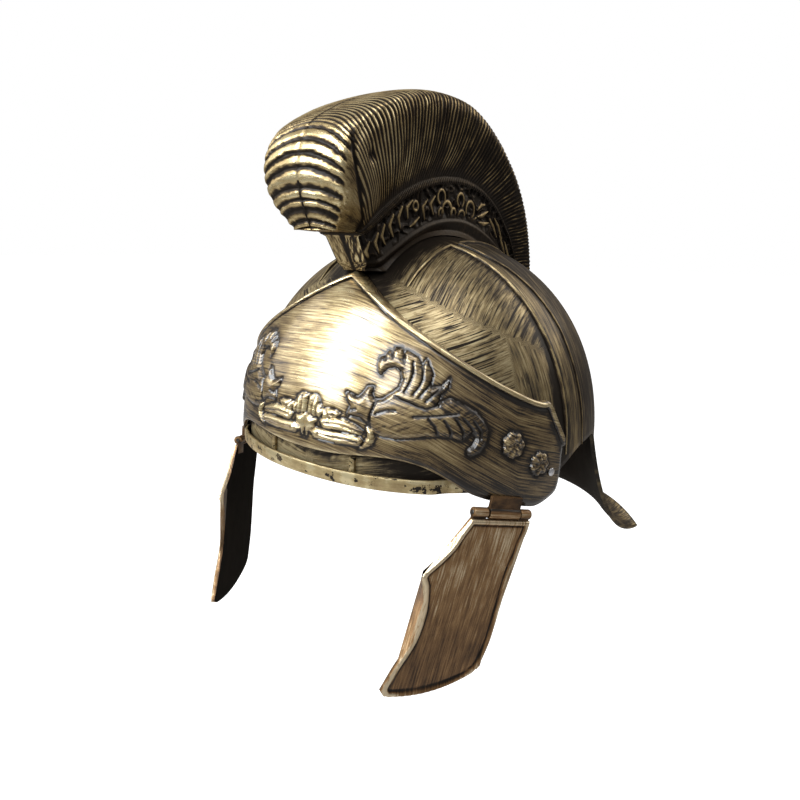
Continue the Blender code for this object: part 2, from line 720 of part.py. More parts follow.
def crest_section(t, lift=0.0):
    """Profile of half the crest at station t, from the dome up over the plume to the seam."""
    ly, lz, cy, cz, oy, oz, wide, narrow = [v * CM for v in spline(CREST_SECTIONS, t)]
    low, cord, outer = Vector((0, ly, lz)), Vector((0, cy, cz)), Vector((0, oy, oz))
    down = (low - cord).normalized()
    foot_x = narrow * 1.12
    foot = land(low, down, foot_x)
    plume = outer - cord
    stem = cord - low

    def at(base, direction, f, x):
        p = base + direction * f
        return Vector((x, p.y, p.z))

    crown = plume.normalized() * lift
    return [
        foot,
        at(foot, low - foot, 0.45, narrow * 0.92),
        at(low, stem, 0.0, narrow * 1.04),
        at(low, stem, 0.10, narrow * 0.98),
        at(low, stem, 0.88, narrow * 0.98),
        at(low, stem, 0.97, narrow * 1.12),
        at(cord, plume, 0.06, narrow * 1.06 + lift * 0.4),
        at(cord, plume, 0.40, narrow + (wide - narrow) * 0.62 + lift),
        at(cord, plume, 0.74, narrow + (wide - narrow) * 0.95 + lift),
        at(cord, plume, 0.90, wide * 0.97 + lift) + crown * 0.5,
        at(cord, plume, 0.965, wide * 0.80 + lift * 0.5) + crown,
        at(cord, plume, 0.992, wide * 0.45) + crown,
        at(cord, plume, 1.0, SEAM_GAP) + crown,
    ]


def land(start, down, x):
    """Go down to the dome, or in front only to the level of the brow plate's top edge."""
    begin = Vector((x, start.y, start.z)) + down * 0.03
    p = cast(begin, -down, CREST_SEAT)
    if p.z < FOOT_LEVEL and p.y < 0:
        p = p + down * ((FOOT_LEVEL - p.z) / down.z)
    return p


def crest_half(side):
    """Outer form of one half, closed on the centre plane, with ends that bend at the cord."""
    rings = []
    for i in range(CREST_STATIONS + 1):
        t = i / CREST_STATIONS
        lift = HAIR_RIDGE if i % 2 else 0.0
        section = crest_section(t, lift)
        ly, lz, cy, cz = [v * CM for v in spline(CREST_SECTIONS, t)[:4]]
        down = (Vector((0, ly, lz)) - Vector((0, cy, cz))).normalized()
        keel = land(Vector((0, ly, lz)), down, SEAM_GAP)
        rings.append([keel] + section + [Vector((SEAM_GAP, cy, cz))])
    if side < 0:
        rings = [mirror_points(ring) for ring in rings]
    points, faces = tube(rings)
    count = len(rings[0])
    stem_end = list(range(STEM_POINTS)) + [count - 1]
    plume_end = list(range(STEM_POINTS - 1, count))
    faces = faces[:-2]
    for part in (stem_end, plume_end):
        faces.append(tuple(reversed(part)))
        faces.append(tuple(len(points) - count + i for i in part))
    return points, faces


def crest_hollow(side):
    """Space inside one half, open towards the centre plane."""
    rings = []
    steps = 12
    for i in range(steps + 1):
        t = 0.13 + 0.80 * i / steps
        ly, lz, cy, cz, oy, oz, wide, narrow = [v * CM for v in spline(CREST_SECTIONS, t)]
        low, cord, outer = Vector((0, ly, lz)), Vector((0, cy, cz)), Vector((0, oy, oz))
        plume = outer - cord
        skin = CREST_WALL / max(plume.length, 0.001)
        ring = []
        for base, direction, f, x in (
                (low, cord - low, 0.10, -0.001), (low, cord - low, 0.10, narrow - CREST_WALL),
                (low, cord - low, 0.9, narrow - CREST_WALL),
                (cord, plume, 0.40, narrow + (wide - narrow) * 0.60 - CREST_WALL),
                (cord, plume, 0.74, wide * 0.95 - CREST_WALL * 1.2),
                (cord, plume, 0.90 - skin, wide * 0.93 - CREST_WALL * 1.5),
                (cord, plume, 1.0 - skin * 1.4, wide * 0.40),
                (cord, plume, 1.0 - skin * 1.4, -0.001)):
            p = base + direction * f
            ring.append(Vector((x, p.y, p.z)))
        rings.append(ring)
    if side < 0:
        rings = [mirror_points(ring) for ring in rings]
    return tube(rings)


def build_crest(side):
    name = "crest_left" if side > 0 else "crest_right"
    half = make_object(name, *crest_half(side), "crest")
    combine(half, make_object(name + "_hollow", *crest_hollow(side), "crest"), "DIFFERENCE")
    return half


def build_helmet():
    clear_scene()
    build_skull()
    build_brow()
    for side in (1, -1):
        build_crest(side)
        build_guard(side)
        build_pin(side)
        build_rivet(side)


build_helmet()
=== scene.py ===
import math

import bmesh
import bpy
import numpy as np
from mathutils import Matrix, Vector


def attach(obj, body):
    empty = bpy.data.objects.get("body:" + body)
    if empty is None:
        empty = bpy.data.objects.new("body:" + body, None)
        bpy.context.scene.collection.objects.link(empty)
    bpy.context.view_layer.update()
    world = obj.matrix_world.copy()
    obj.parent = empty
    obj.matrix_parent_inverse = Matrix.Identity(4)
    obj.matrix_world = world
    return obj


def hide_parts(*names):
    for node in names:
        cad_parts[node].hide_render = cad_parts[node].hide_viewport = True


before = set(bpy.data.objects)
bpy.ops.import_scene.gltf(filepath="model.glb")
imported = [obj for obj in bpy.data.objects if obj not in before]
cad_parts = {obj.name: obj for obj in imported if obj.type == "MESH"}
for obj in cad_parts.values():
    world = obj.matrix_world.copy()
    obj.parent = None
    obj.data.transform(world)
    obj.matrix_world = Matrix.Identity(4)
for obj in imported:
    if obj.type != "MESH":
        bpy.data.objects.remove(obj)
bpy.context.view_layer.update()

BODY = "helmet"
CM = 0.01
SIDES = ((1, "left"), (-1, "right"))

# Forms shared with the CAD part, in metres and degrees.
# Half width, reach to the front and to the rear, and height of the dome; then its curves' powers.
HALF_WIDTH, FRONT, REAR, RISE = 0.0960, 0.0956, 0.1069, 0.1129
PLAN, SIDE = 2.22, 2.10
WALL = 0.0023
BAND_FOOT, BAND_TOP, BAND_REACH = 0.0016, 0.0080, 0.0036
BAND_REACH_TUCKED, BAND_THICKNESS = 0.0017, 0.0014
BAND_FULL_TO, BAND_TUCKED_AT, BAND_END = 34.5, 40.5, 49.0
EAR_RIM_LIFT, NECK_RIM_FALL, NECK_HALF_SPAN = 0.0090, 0.0115, 75.0
RIB_X = 0.0275
SIDE_FIELD_FROM = 62.5
# Ribs that run from side to side, as distance from the middle and place along Y.
FRONT_RIB = np.array(((0.0275, -0.0208), (0.0380, -0.0190), (0.0480, -0.0176), (0.0580, -0.0164),
                      (0.0700, -0.0150), (0.0800, -0.0142), (0.0900, -0.0140), (0.0970, -0.0156)))
REAR_RIB = np.array(((0.0275, -0.0125), (0.0450, -0.0082), (0.0526, -0.0042), (0.0613, -0.0006),
                     (0.0678, 0.0020), (0.0733, 0.0038), (0.0790, 0.0051), (0.0970, 0.0058)))
PLATE_INNER, PLATE_OUTER = 0.0022, 0.0042
GIRTH = 2 * math.pi * HALF_WIDTH / 360
# Edges of the brow plate: azimuth and height in cm of the lower edge, then of the upper edge.
BROW_EDGES = np.array((
    (0, 1.50, 0, 9.45), (6, 1.53, 6, 9.05), (12, 1.60, 12, 8.60), (18, 1.68, 18, 8.12),
    (24, 1.69, 24, 7.60), (30, 1.55, 30, 7.12), (35, 1.27, 35, 6.70), (40, 0.83, 40, 6.28),
    (45, 0.30, 45, 5.85), (50, -0.08, 50, 5.42), (55, -0.36, 55, 5.00), (60, -0.60, 59, 4.68),
    (64, -0.80, 63, 4.38), (68, -0.90, 67, 4.10), (72.4, -0.72, 70, 3.96),
    (75.9, -0.42, 72.9, 3.86), (77.2, 0.35, 75.6, 2.92), (77.7, 1.28, 78.8, 1.90)))
HINGE_CENTRE = np.array((0.0850, -0.0600, -0.0080))
HINGE_AXIS = np.array((0.466, 0.859, -0.217)) / math.sqrt(0.466 ** 2 + 0.859 ** 2 + 0.217 ** 2)
GUARD_ALONG = np.array((0.475, 0.880, 0.0))
GUARD_OUT = np.array((0.880, -0.475, 0.0))
STRIP_REACH = 0.0078
PIN_RADIUS, PIN_ENDS = 0.0010, (-0.0170, 0.0152)
KNUCKLE_RADIUS, KNUCKLE_HALF, EAR_RADIUS = 0.0026, 0.0084, 0.0023
EARS = ((-0.0166, -0.0092), (0.0092, 0.0148))
# Edges of a cheek guard in cm: place along it and height at the front edge, then at the rear edge.
GUARD_EDGES = np.array((
    (-1.74, -0.71, 1.46, -1.43), (-2.26, -1.30, 1.34, -1.86), (-2.70, -1.86, 1.12, -2.35),
    (-3.35, -2.36, 0.90, -2.95), (-4.07, -2.90, 0.68, -3.45), (-3.97, -3.50, 0.46, -4.00),
    (-4.02, -4.60, 0.20, -5.05), (-4.34, -5.70, -0.04, -6.05), (-4.76, -6.45, -0.22, -6.75),
    (-5.24, -7.15, -0.38, -7.35), (-5.92, -8.35, -0.79, -8.45)))
# Sections of the crest in cm: Y and Z of the foot, of the cord and of the outer edge, then the half
# widths of the hair and of the holder.
CREST_SECTIONS = np.array((
    (-6.45, 9.75, -7.30, 11.20, -9.20, 11.30, 1.25, 1.12),
    (-6.00, 9.82, -6.85, 11.35, -9.84, 12.70, 2.14, 1.13),
    (-5.50, 9.98, -6.40, 11.60, -9.98, 14.20, 2.42, 1.13),
    (-4.90, 10.28, -5.70, 12.05, -9.25, 15.52, 2.42, 1.12),
    (-4.30, 10.56, -5.00, 12.45, -7.70, 16.48, 2.38, 1.12),
    (-3.60, 10.88, -4.20, 12.90, -5.90, 17.22, 2.34, 1.12),
    (-2.70, 11.25, -3.00, 13.40, -3.90, 17.80, 2.32, 1.12),
    (-1.40, 11.66, -1.60, 13.80, -1.60, 18.05, 2.30, 1.12),
    (0.10, 11.90, 0.00, 14.05, 0.80, 17.92, 2.26, 1.12),
    (1.70, 11.92, 1.80, 14.10, 3.10, 17.15, 2.20, 1.12),
    (3.30, 11.66, 3.70, 13.80, 5.30, 15.92, 2.12, 1.12),
    (4.90, 11.15, 5.50, 13.05, 7.20, 14.42, 2.04, 1.12),
    (6.40, 10.45, 6.90, 12.00, 8.60, 12.75, 1.96, 1.12),
    (7.60, 9.55, 8.05, 10.80, 9.50, 11.10, 1.88, 1.12),
    (8.55, 8.45, 8.90, 9.35, 10.15, 9.45, 1.78, 1.10),
    (9.20, 7.20, 9.50, 7.85, 10.58, 7.85, 1.66, 1.05),
    (9.72, 5.90, 9.98, 6.35, 10.80, 6.35, 1.50, 0.98)))
FOOT_LEVEL, CREST_SEAT, SEAM = 0.0949, 0.0006, 0.00001


# Small tools.
def ease(value, low, high):
    """Smooth step from 0 at low to 1 at high; low may be the larger one."""
    f = np.clip((np.asarray(value, float) - low) / (high - low), 0.0, 1.0)
    return f * f * (3 - 2 * f)


def bell(value, centre, width):
    return np.exp(-((value - centre) / width) ** 2)


def curve(table, place):
    """Rows of a smooth curve through the rows of a table, at places counted in rows."""
    i = np.minimum(place.astype(int), len(table) - 2)
    f = (place - i)[..., None]
    a, b, c, d = [table[np.clip(i + k, 0, len(table) - 1)] for k in (-1, 0, 1, 2)]
    return 0.5 * (2 * b + (c - a) * f + (2 * a - 5 * b + 4 * c - d) * f * f
                  + (3 * b - a - 3 * c + d) * f ** 3)


def spline(table, t):
    return curve(table, np.asarray(t, float) * (len(table) - 1))


def shell(azimuth, height, offset=0.0):
    """Points that stand off the dome's face. Azimuth 0 is the front."""
    angle = np.radians(azimuth)
    s, c = np.sin(angle), np.cos(angle)
    rise = RISE + offset
    shrink = np.clip(1 - (np.maximum(height, 0.0) / rise) ** SIDE, 0, None) ** (1 / SIDE)
    depth = np.where(c > 0, FRONT, REAR) + offset
    x = (HALF_WIDTH + offset) * shrink * np.sign(s) * np.abs(s) ** (2 / PLAN)
    y = -depth * shrink * np.sign(c) * np.abs(c) ** (2 / PLAN)
    return np.stack(np.broadcast_arrays(x, y, height), -1)


def level(p, offset=0.0):
    """Below 0 inside the dome's outer face, above 0 outside it."""
    depth = np.where(p[..., 1] < 0, FRONT, REAR) + offset
    plan = (np.abs(p[..., 0]) / (HALF_WIDTH + offset)) ** PLAN + (np.abs(p[..., 1]) / depth) ** PLAN
    return plan ** (SIDE / PLAN) + (np.maximum(p[..., 2], 0) / (RISE + offset)) ** SIDE - 1


def cast(start, direction, offset=0.0):
    """Where rays from inside the dome meet its outer face."""
    near = np.zeros(start.shape[:-1])
    far = near + 0.3
    for _ in range(34):
        middle = (near + far) / 2
        inside = level(start + direction * middle[..., None], offset) < 0
        near, far = np.where(inside, middle, near), np.where(inside, far, middle)
    return start + direction * near[..., None]


def unit(v):
    return v / np.maximum(np.linalg.norm(v, axis=-1, keepdims=True), 1e-12)


def outward(p):
    step = 1e-5
    return unit(np.stack([level(p + step * e) - level(p - step * e) for e in np.eye(3)], -1))


def noise(x, y, seed, scale=1.0):
    """Smooth value noise in two directions, from -1 to 1, always the same for a seed."""
    rng = np.random.default_rng(seed)
    table = rng.uniform(-1, 1, (64, 64))
    x, y = np.asarray(x) * scale, np.asarray(y) * scale
    i, j = np.floor(x).astype(int), np.floor(y).astype(int)
    fx, fy = x - i, y - j
    fx, fy = fx * fx * (3 - 2 * fx), fy * fy * (3 - 2 * fy)
    a, b = table[i % 64, j % 64], table[(i + 1) % 64, j % 64]
    c, d = table[i % 64, (j + 1) % 64], table[(i + 1) % 64, (j + 1) % 64]
    return (a * (1 - fx) + b * fx) * (1 - fy) + (c * (1 - fx) + d * fx) * fy


def path_distance(x, y, path, closed=False):
    """Distance from many places to a path, and the path's width there if it has one."""
    path = np.asarray(path, float)
    ends = np.roll(path, -1, 0) if closed else path[1:]
    best, width = np.full(np.shape(x), 1e9), np.zeros(np.shape(x))
    for a, b in zip(path, ends):
        d = b[:2] - a[:2]
        t = np.clip(((x - a[0]) * d[0] + (y - a[1]) * d[1]) / max(d @ d, 1e-12), 0, 1)
        gap = np.hypot(x - a[0] - t * d[0], y - a[1] - t * d[1])
        if path.shape[1] > 2:
            w = a[2] + (b[2] - a[2]) * t
            closer = gap - w / 2 < best - width / 2
            width = np.where(closer, w, width)
        else:
            closer = gap < best
        best = np.where(closer, gap, best)
    return best, width


def inside_path(x, y, path):
    """Whether each of many places lies inside a closed path."""
    path = np.asarray(path, float)
    hit = np.zeros(np.shape(x), bool)
    for a, b in zip(path, np.roll(path, -1, 0)):
        crosses = (a[1] > y) != (b[1] > y)
        at = (b[0] - a[0]) * (y - a[1]) / (b[1] - a[1] + 1e-12) + a[0]
        hit ^= crosses & (x < at)
    return hit


# Meshes.
def build(name, points, faces, material, tone, chart, body=BODY, smooth=40.0, **more):
    """A piece with its brushing: tone runs from hollows to worn edges, chart gives the strokes' direction."""
    mesh = bpy.data.meshes.new(name)
    mesh.from_pydata(np.asarray(points, float).tolist(), [], faces)
    for key, values in {"tone": tone, "chart": chart, **more}.items():
        values = np.broadcast_to(values, (len(points), 3) if key == "chart" else len(points))
        layer = mesh.attributes.new(key, "FLOAT_VECTOR" if key == "chart" else "FLOAT", "POINT")
        layer.data.foreach_set("vector" if key == "chart" else "value", values.ravel())
    mesh.validate()
    mesh.materials.append(material)
    mesh.shade_smooth()
    mesh.set_sharp_from_angle(angle=math.radians(smooth))
    made = bpy.data.objects.new(name, mesh)
    bpy.context.scene.collection.objects.link(made)
    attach(made, body)
    return made


def quads(rows, columns, start=0, wrap=False, flip=False):
    i, j = np.meshgrid(np.arange(rows - 1), np.arange(columns if wrap else columns - 1), indexing="ij")
    k = (j + 1) % columns
    q = np.stack([i * columns + j, i * columns + k, (i + 1) * columns + k, (i + 1) * columns + j], -1)
    q = q.reshape(-1, 4) + start
    return (q[:, ::-1] if flip else q).tolist()


def closed_sheet(front, back):
    """Faces for a front grid and a coarser back grid with the same number of columns."""
    rows, columns = front.shape[:2]
    rear = back.shape[0]
    count = rows * columns
    faces = quads(rows, columns) + quads(rear, columns, count, flip=True)
    for i, k, flip in ((0, 0, False), (rows - 1, rear - 1, True)):
        for j in range(columns - 1):
            a, b = i * columns + j, i * columns + j + 1
            c, d = count + k * columns + j + 1, count + k * columns + j
            faces.append([d, c, b, a] if flip else [a, d, c, b])
    for j, flip in ((0, False), (columns - 1, True)):
        loop = [i * columns + j for i in range(rows)]
        loop += [count + i * columns + j for i in reversed(range(rear))]
        faces.append(loop[::-1] if flip else loop)
    return np.concatenate([front.reshape(-1, 3), back.reshape(-1, 3)]), faces


def sweep(rings):
    """Closed bar through rings with the same number of corners."""
    rings = np.asarray(rings, float)
    rows, columns = rings.shape[:2]
    faces = quads(rows, columns, wrap=True)
    faces.append(list(range(columns))[::-1])
    faces.append(list(range((rows - 1) * columns, rows * columns)))
    return rings.reshape(-1, 3), faces


def between(edges, f):
    """Places at a share f of the way from one edge to the other; edges holds both in its last axis."""
    places = edges[..., :2] * (1 - f[..., None]) + edges[..., 2:] * f[..., None]
    return places[..., 0], places[..., 1]


def turned(origin, axis, first, second, stations, corners):
    """Round bar about an axis; stations are pairs of place along it and radius."""
    angles = np.linspace(0, 2 * math.pi, corners + 1)[:-1]
    return sweep([[origin + axis * d + (first * math.cos(a) + second * math.sin(a)) * r for a in angles]
                  for d, r in stations])


# Materials.
def node(tree, kind, **values):
    made = tree.nodes.new(kind)
    for key, value in values.items():
        if key in made.inputs:
            made.inputs[key].default_value = value
        else:
            setattr(made, key, value)
    return made


def ramp(tree, factor, stops):
    made = tree.nodes.new("ShaderNodeValToRGB")
    bar = made.color_ramp
    while len(bar.elements) < len(stops):
        bar.elements.new(0.5)
    for element, (place, value) in zip(bar.elements, stops):
        element.position = place
        element.color = (*value, 1.0)
    tree.links.new(factor, made.inputs["Fac"])
    return made.outputs["Color"]


def calc(tree, operation, a, b=None, c=None, clamp=False):
    made = tree.nodes.new("ShaderNodeMath")
    made.operation = operation
    made.use_clamp = clamp
    for socket, value in zip(made.inputs, (a, b, c)):
        if value is None:
            continue
        if isinstance(value, (int, float)):
            socket.default_value = value
        else:
            tree.links.new(value, socket)
    return made.outputs[0]


def shift(tree, pattern, amount, base, clamp=False):
    """Base moved up and down by a pattern that lies about 0.5."""
    return calc(tree, "MULTIPLY_ADD", calc(tree, "SUBTRACT", pattern, 0.5), amount, base, clamp=clamp)


def steep(tree, pattern, start, slope):
    """0 below a start value, then a steep rise to 1."""
    return calc(tree, "MULTIPLY", calc(tree, "SUBTRACT", pattern, start), slope, clamp=True)


def streaks(tree, vector, along, across, detail=4.0, rough=0.6, warp=0.0):
    """Noise drawn out along the first direction of a vector that is in metres."""
    mapping = tree.nodes.new("ShaderNodeMapping")
    mapping.inputs["Scale"].default_value = (1 / along, 1 / across, 1 / across)
    tree.links.new(vector, mapping.inputs["Vector"])
    texture = node(tree, "ShaderNodeTexNoise", Scale=1.0, Detail=detail, Roughness=rough, Distortion=warp)
    tree.links.new(mapping.outputs[0], texture.inputs["Vector"])
    return texture.outputs["Fac"]


def antique(name, stops, streak, rough=(0.30, 0.52), metallic=0.82, coat=0.25, contrast=1.0,
            chip=0.0, scratch=0.5, coat_rough=0.22, gloss=0.22, hatch=0.0):
    """Metallic coating brushed over a near-black ground: stops run from hollows to worn edges."""
    made = bpy.data.materials.new(name)
    made.use_nodes = True
    tree = made.node_tree
    shader = tree.nodes["Principled BSDF"]
    chart = node(tree, "ShaderNodeAttribute", attribute_name="chart").outputs["Vector"]
    tone = node(tree, "ShaderNodeAttribute", attribute_name="tone").outputs["Fac"]
    place = tree.nodes.new("ShaderNodeTexCoord").outputs["Object"]
    fine = streaks(tree, chart, streak[0], streak[1], 3.0, 0.6)
    broad = streaks(tree, chart, streak[0] * 1.3, streak[1] * 3.5, 3.0, 0.5, 0.2)
    cuts = streaks(tree, chart, streak[0] * 0.55, streak[1] * 1.15, 2.0, 0.4)
    cloud = streaks(tree, place, 0.012, 0.012, 4.0, 0.6)
    grain = streaks(tree, place, 0.0006, 0.0006, 2.0, 0.5)
    value = shift(tree, fine, 1.5 * contrast, tone)
    value = shift(tree, broad, 0.8 * contrast, value)
    value = shift(tree, cloud, 0.50, value)
    value = shift(tree, grain, 0.20, value, clamp=True)
    lines = steep(tree, cuts, 0.585, 14.0)
    lines = calc(tree, "MULTIPLY", lines, calc(tree, "MULTIPLY_ADD", cloud, 2.2, -0.75, clamp=True))
    value = calc(tree, "MULTIPLY_ADD", lines, -scratch, value, clamp=True)
    if hatch:
        cut = steep(tree, streaks(tree, chart, 0.050, 0.00085, 1.0, 0.3), 0.565, 26.0)
        where = node(tree, "ShaderNodeAttribute", attribute_name="cuts").outputs["Fac"]
        value = calc(tree, "MULTIPLY_ADD", calc(tree, "MULTIPLY", cut, where), -hatch, value, clamp=True)
    if chip:
        chips = calc(tree, "GREATER_THAN", streaks(tree, chart, 0.006, 0.0022, 5.0, 0.65), chip)
        value = calc(tree, "MULTIPLY_ADD", chips, -0.75, value, clamp=True)
    tree.links.new(ramp(tree, value, stops), shader.inputs["Base Color"])
    low, high = rough
    worn = shift(tree, cloud, 0.12, calc(tree, "MULTIPLY_ADD", value, low - high, high), clamp=True)
    tree.links.new(worn, shader.inputs["Roughness"])
    metal = calc(tree, "MULTIPLY_ADD", value, metallic * 0.6, metallic * 0.4, clamp=True)
    tree.links.new(metal, shader.inputs["Metallic"])
    for socket, plain in (("Coat Weight", coat), ("Specular Tint", (1.0, 0.80, 0.58, 1.0)),
                          ("Coat Roughness", coat_rough), ("Specular IOR Level", gloss)):
        shader.inputs[socket].default_value = plain
    height = calc(tree, "MULTIPLY_ADD", fine, 0.7, calc(tree, "MULTIPLY", broad, 0.3))
    height = calc(tree, "MULTIPLY_ADD", lines, -0.25, height)
    raised = node(tree, "ShaderNodeBump", Strength=0.12, Distance=0.0006)
    tree.links.new(height, raised.inputs["Height"])
    tree.links.new(raised.outputs[0], shader.inputs["Normal"])
    return made


BLACK, SOOT, UMBER = (0.006, 0.0045, 0.0035), (0.016, 0.012, 0.009), (0.050, 0.034, 0.019)
BRONZE, BRASS, PALE = (0.235, 0.170, 0.080), (0.420, 0.320, 0.160), (0.600, 0.500, 0.290)
BROW = antique("brow_brass", ((0.0, BLACK), (0.22, SOOT), (0.42, (0.120, 0.080, 0.038)),
                              (0.64, BRONZE), (0.85, BRASS), (1.0, PALE)),
               (0.020, 0.00075), rough=(0.27, 0.46), coat=0.95, coat_rough=0.17, contrast=1.1)
DOME = antique("dome_brass", ((0.0, BLACK), (0.2, SOOT), (0.40, (0.085, 0.066, 0.040)),
                              (0.62, (0.210, 0.155, 0.076)), (0.85, (0.37, 0.300, 0.170)),
                              (1.0, (0.45, 0.37, 0.21))),
               (0.011, 0.00062), rough=(0.36, 0.54), coat=0.15, hatch=0.85)
BEAD = antique("worn_edge", ((0.0, BLACK), (0.3, UMBER), (0.6, BRONZE), (0.85, BRASS), (1.0, PALE)),
               (0.012, 0.0012), rough=(0.28, 0.45), scratch=0.3)
BAND = antique("rim_band", ((0.0, BLACK), (0.25, UMBER), (0.5, BRONZE), (0.8, BRASS), (1.0, PALE)),
               (0.014, 0.0014), rough=(0.32, 0.45), chip=0.585, contrast=0.8, scratch=0.3)
HAIR = antique("crest_hair", ((0.0, BLACK), (0.28, SOOT), (0.5, UMBER), (0.68, BRONZE),
                              (0.85, BRASS), (1.0, PALE)),
               (0.0030, 0.0012), rough=(0.24, 0.50), contrast=0.45, scratch=0.2, coat=0.10, gloss=0.10)
GUARD = antique("guard_copper", ((0.0, BLACK), (0.25, (0.045, 0.024, 0.012)), (0.5, (0.150, 0.080, 0.034)),
                                 (0.75, (0.290, 0.170, 0.076)), (1.0, (0.62, 0.50, 0.33))),
                (0.016, 0.0008), rough=(0.32, 0.50), scratch=0.3, contrast=0.75)
LINER = antique("inner_face", ((0.0, (0.002, 0.002, 0.0015)), (0.5, (0.006, 0.004, 0.003)),
                               (1.0, (0.024, 0.015, 0.010))),
                (0.02, 0.008), rough=(0.5, 0.62), metallic=0.2, coat=0.0, contrast=0.4, scratch=0.0,
                gloss=0.02)
STEEL = antique("rivet_steel", ((0.0, (0.35, 0.35, 0.36)), (0.5, (0.62, 0.62, 0.64)),
                                (1.0, (0.80, 0.80, 0.82))),
                (0.002, 0.001), rough=(0.12, 0.25), metallic=1.0, coat=0.0, contrast=0.4, scratch=0.2)
PIN = antique("pin_steel", ((0.0, BLACK), (0.5, (0.05, 0.045, 0.04)), (1.0, (0.20, 0.18, 0.16))),
              (0.004, 0.001), rough=(0.3, 0.45), metallic=1.0, coat=0.0, contrast=0.6, scratch=0.3)


# Dome and neck guard.
def rim_height(azimuth):
    from_front = np.abs((np.asarray(azimuth, float) + 180) % 360 - 180)
    return (BAND_FOOT + EAR_RIM_LIFT * ease(from_front, 74, 94)
            - NECK_RIM_FALL * ease(from_front, 100, 120))


def neck_point(azimuth, t):
    across = (180 - azimuth) / NECK_HALF_SPAN
    foot_z = rim_height(azimuth)
    top = shell(azimuth, foot_z)
    turn = top + np.stack([0.0033 * across ** 3, 0.0043 + 0.0336 * across ** 2,
                           -0.050 - 0.030 * across ** 2], -1)
    side = np.abs(across)
    foot = np.stack([0.1082 * across, 0.1403 - 0.0266 * side ** 2, -0.0595 - 0.0195 * side ** 5.4], -1)
    t = np.asarray(t, float)[..., None]
    return top * (1 - t) ** 2 + turn * 2 * t * (1 - t) + foot * t * t


def dome_look(p, azimuth):
    """Tone, direction of the strokes and share of long cuts: three brushed fields and a rear part."""
    x, y, z = np.abs(p[:, 0]), p[:, 1], p[:, 2]
    away, along = np.abs(azimuth), azimuth * GIRTH
    ahead, past = np.interp(x, *FRONT_RIB.T) - y, y - np.interp(x, *REAR_RIB.T)
    between = (ahead <= 0) & (past < 0)

    # Painted shade: dark stripes beside the ribs, wider lower down, and a dark strip below the crest; a dark
    # line before the rear rib and a darker part behind it.
    low = 1 - ease(z, 0.030, 0.085)
    grain = 0.0007 * noise(x * 900, z * 900, 61) + 0.0004 * noise(y * 2600, z * 2600, 62)
    rib_shade = (ahead > 0) * (1 - ease(ahead + grain, 0.0030 + 0.0035 * low, 0.0048 + 0.0045 * low))
    rib_trace_shade = between * (1 - ease(-ahead + grain, 0.0014 + 0.0018 * low, 0.0028 + 0.0020 * low))
    tone = 0.60 - rib_shade * (0.25 + 0.62 * low) - rib_trace_shade * 0.85 * (0.55 + 0.45 * low)
    tone -= 0.8 * bell(past, -0.0016, 0.0009) + 0.34 * ease(past, 0.0, 0.0020)
    tone -= 0.62 * (1 - ease(x, 0.016, 0.0265)) * ease(z, 0.055, 0.085) * (y > -0.085)

    # The recess above the rim band: painted light in front and painted shade at the sides, with a painted
    # shadow, ragged at its edge, below the brow plate.
    recess = (1 - ease(z, 0.014, 0.024)) * (ahead > 0)
    lit = 1 - ease(azimuth, 6, 30)
    mottle = 0.30 * noise(along * 90, z * 260, 67) - 0.06
    tone += recess * (0.26 * lit - 0.62 * (1 - lit) + lit * mottle)
    plate_foot = np.interp(away, BROW_EDGES[:, 0], BROW_EDGES[:, 1]) * CM
    ragged_shadow_edge = 0.0016 * noise(along * 700, z * 40, 68)
    tone -= 0.62 * recess * lit * (1 - ease(plate_foot - z + ragged_shadow_edge, 0.0022, 0.0046))

    # The fields of strokes: high in front, below that, at the side and on the nape.
    along = np.abs(along)
    high = (z > 0.0845 - 0.0005 * (away - 30)) & (ahead > 0)
    beside = ((away > SIDE_FIELD_FROM) | (ahead < 0)) & ~high
    nape = (away > 122 + 9 * noise(z * 70, z * 0, 66)) & (past > 0)
    middle = ~high & ~beside & (z > 0.030)
    u = np.select([nape, beside, high], [along, 0.06 * np.arctan2(z, x), 1.2 * y], 0.975 * along + 0.22 * z)
    v = np.select([nape, beside, high], [z * 0.7 + 0.03 * np.cos(along * 9), y * 0.55 + 0.7, x + 0.12 * y],
                  0.975 * z - 0.22 * along + 0.4)
    tone += 0.12 * middle - 0.06 * (away > SIDE_FIELD_FROM) * (ahead > 0) * (z > 0.03) - 0.10 * between
    cuts = middle * ease(noise(along * 70, z * 70, 64), -0.5, 0.2) + 0.35 * high
    return tone, np.stack([u, v, 0.05 * np.sign(p[:, 0])], -1), cuts


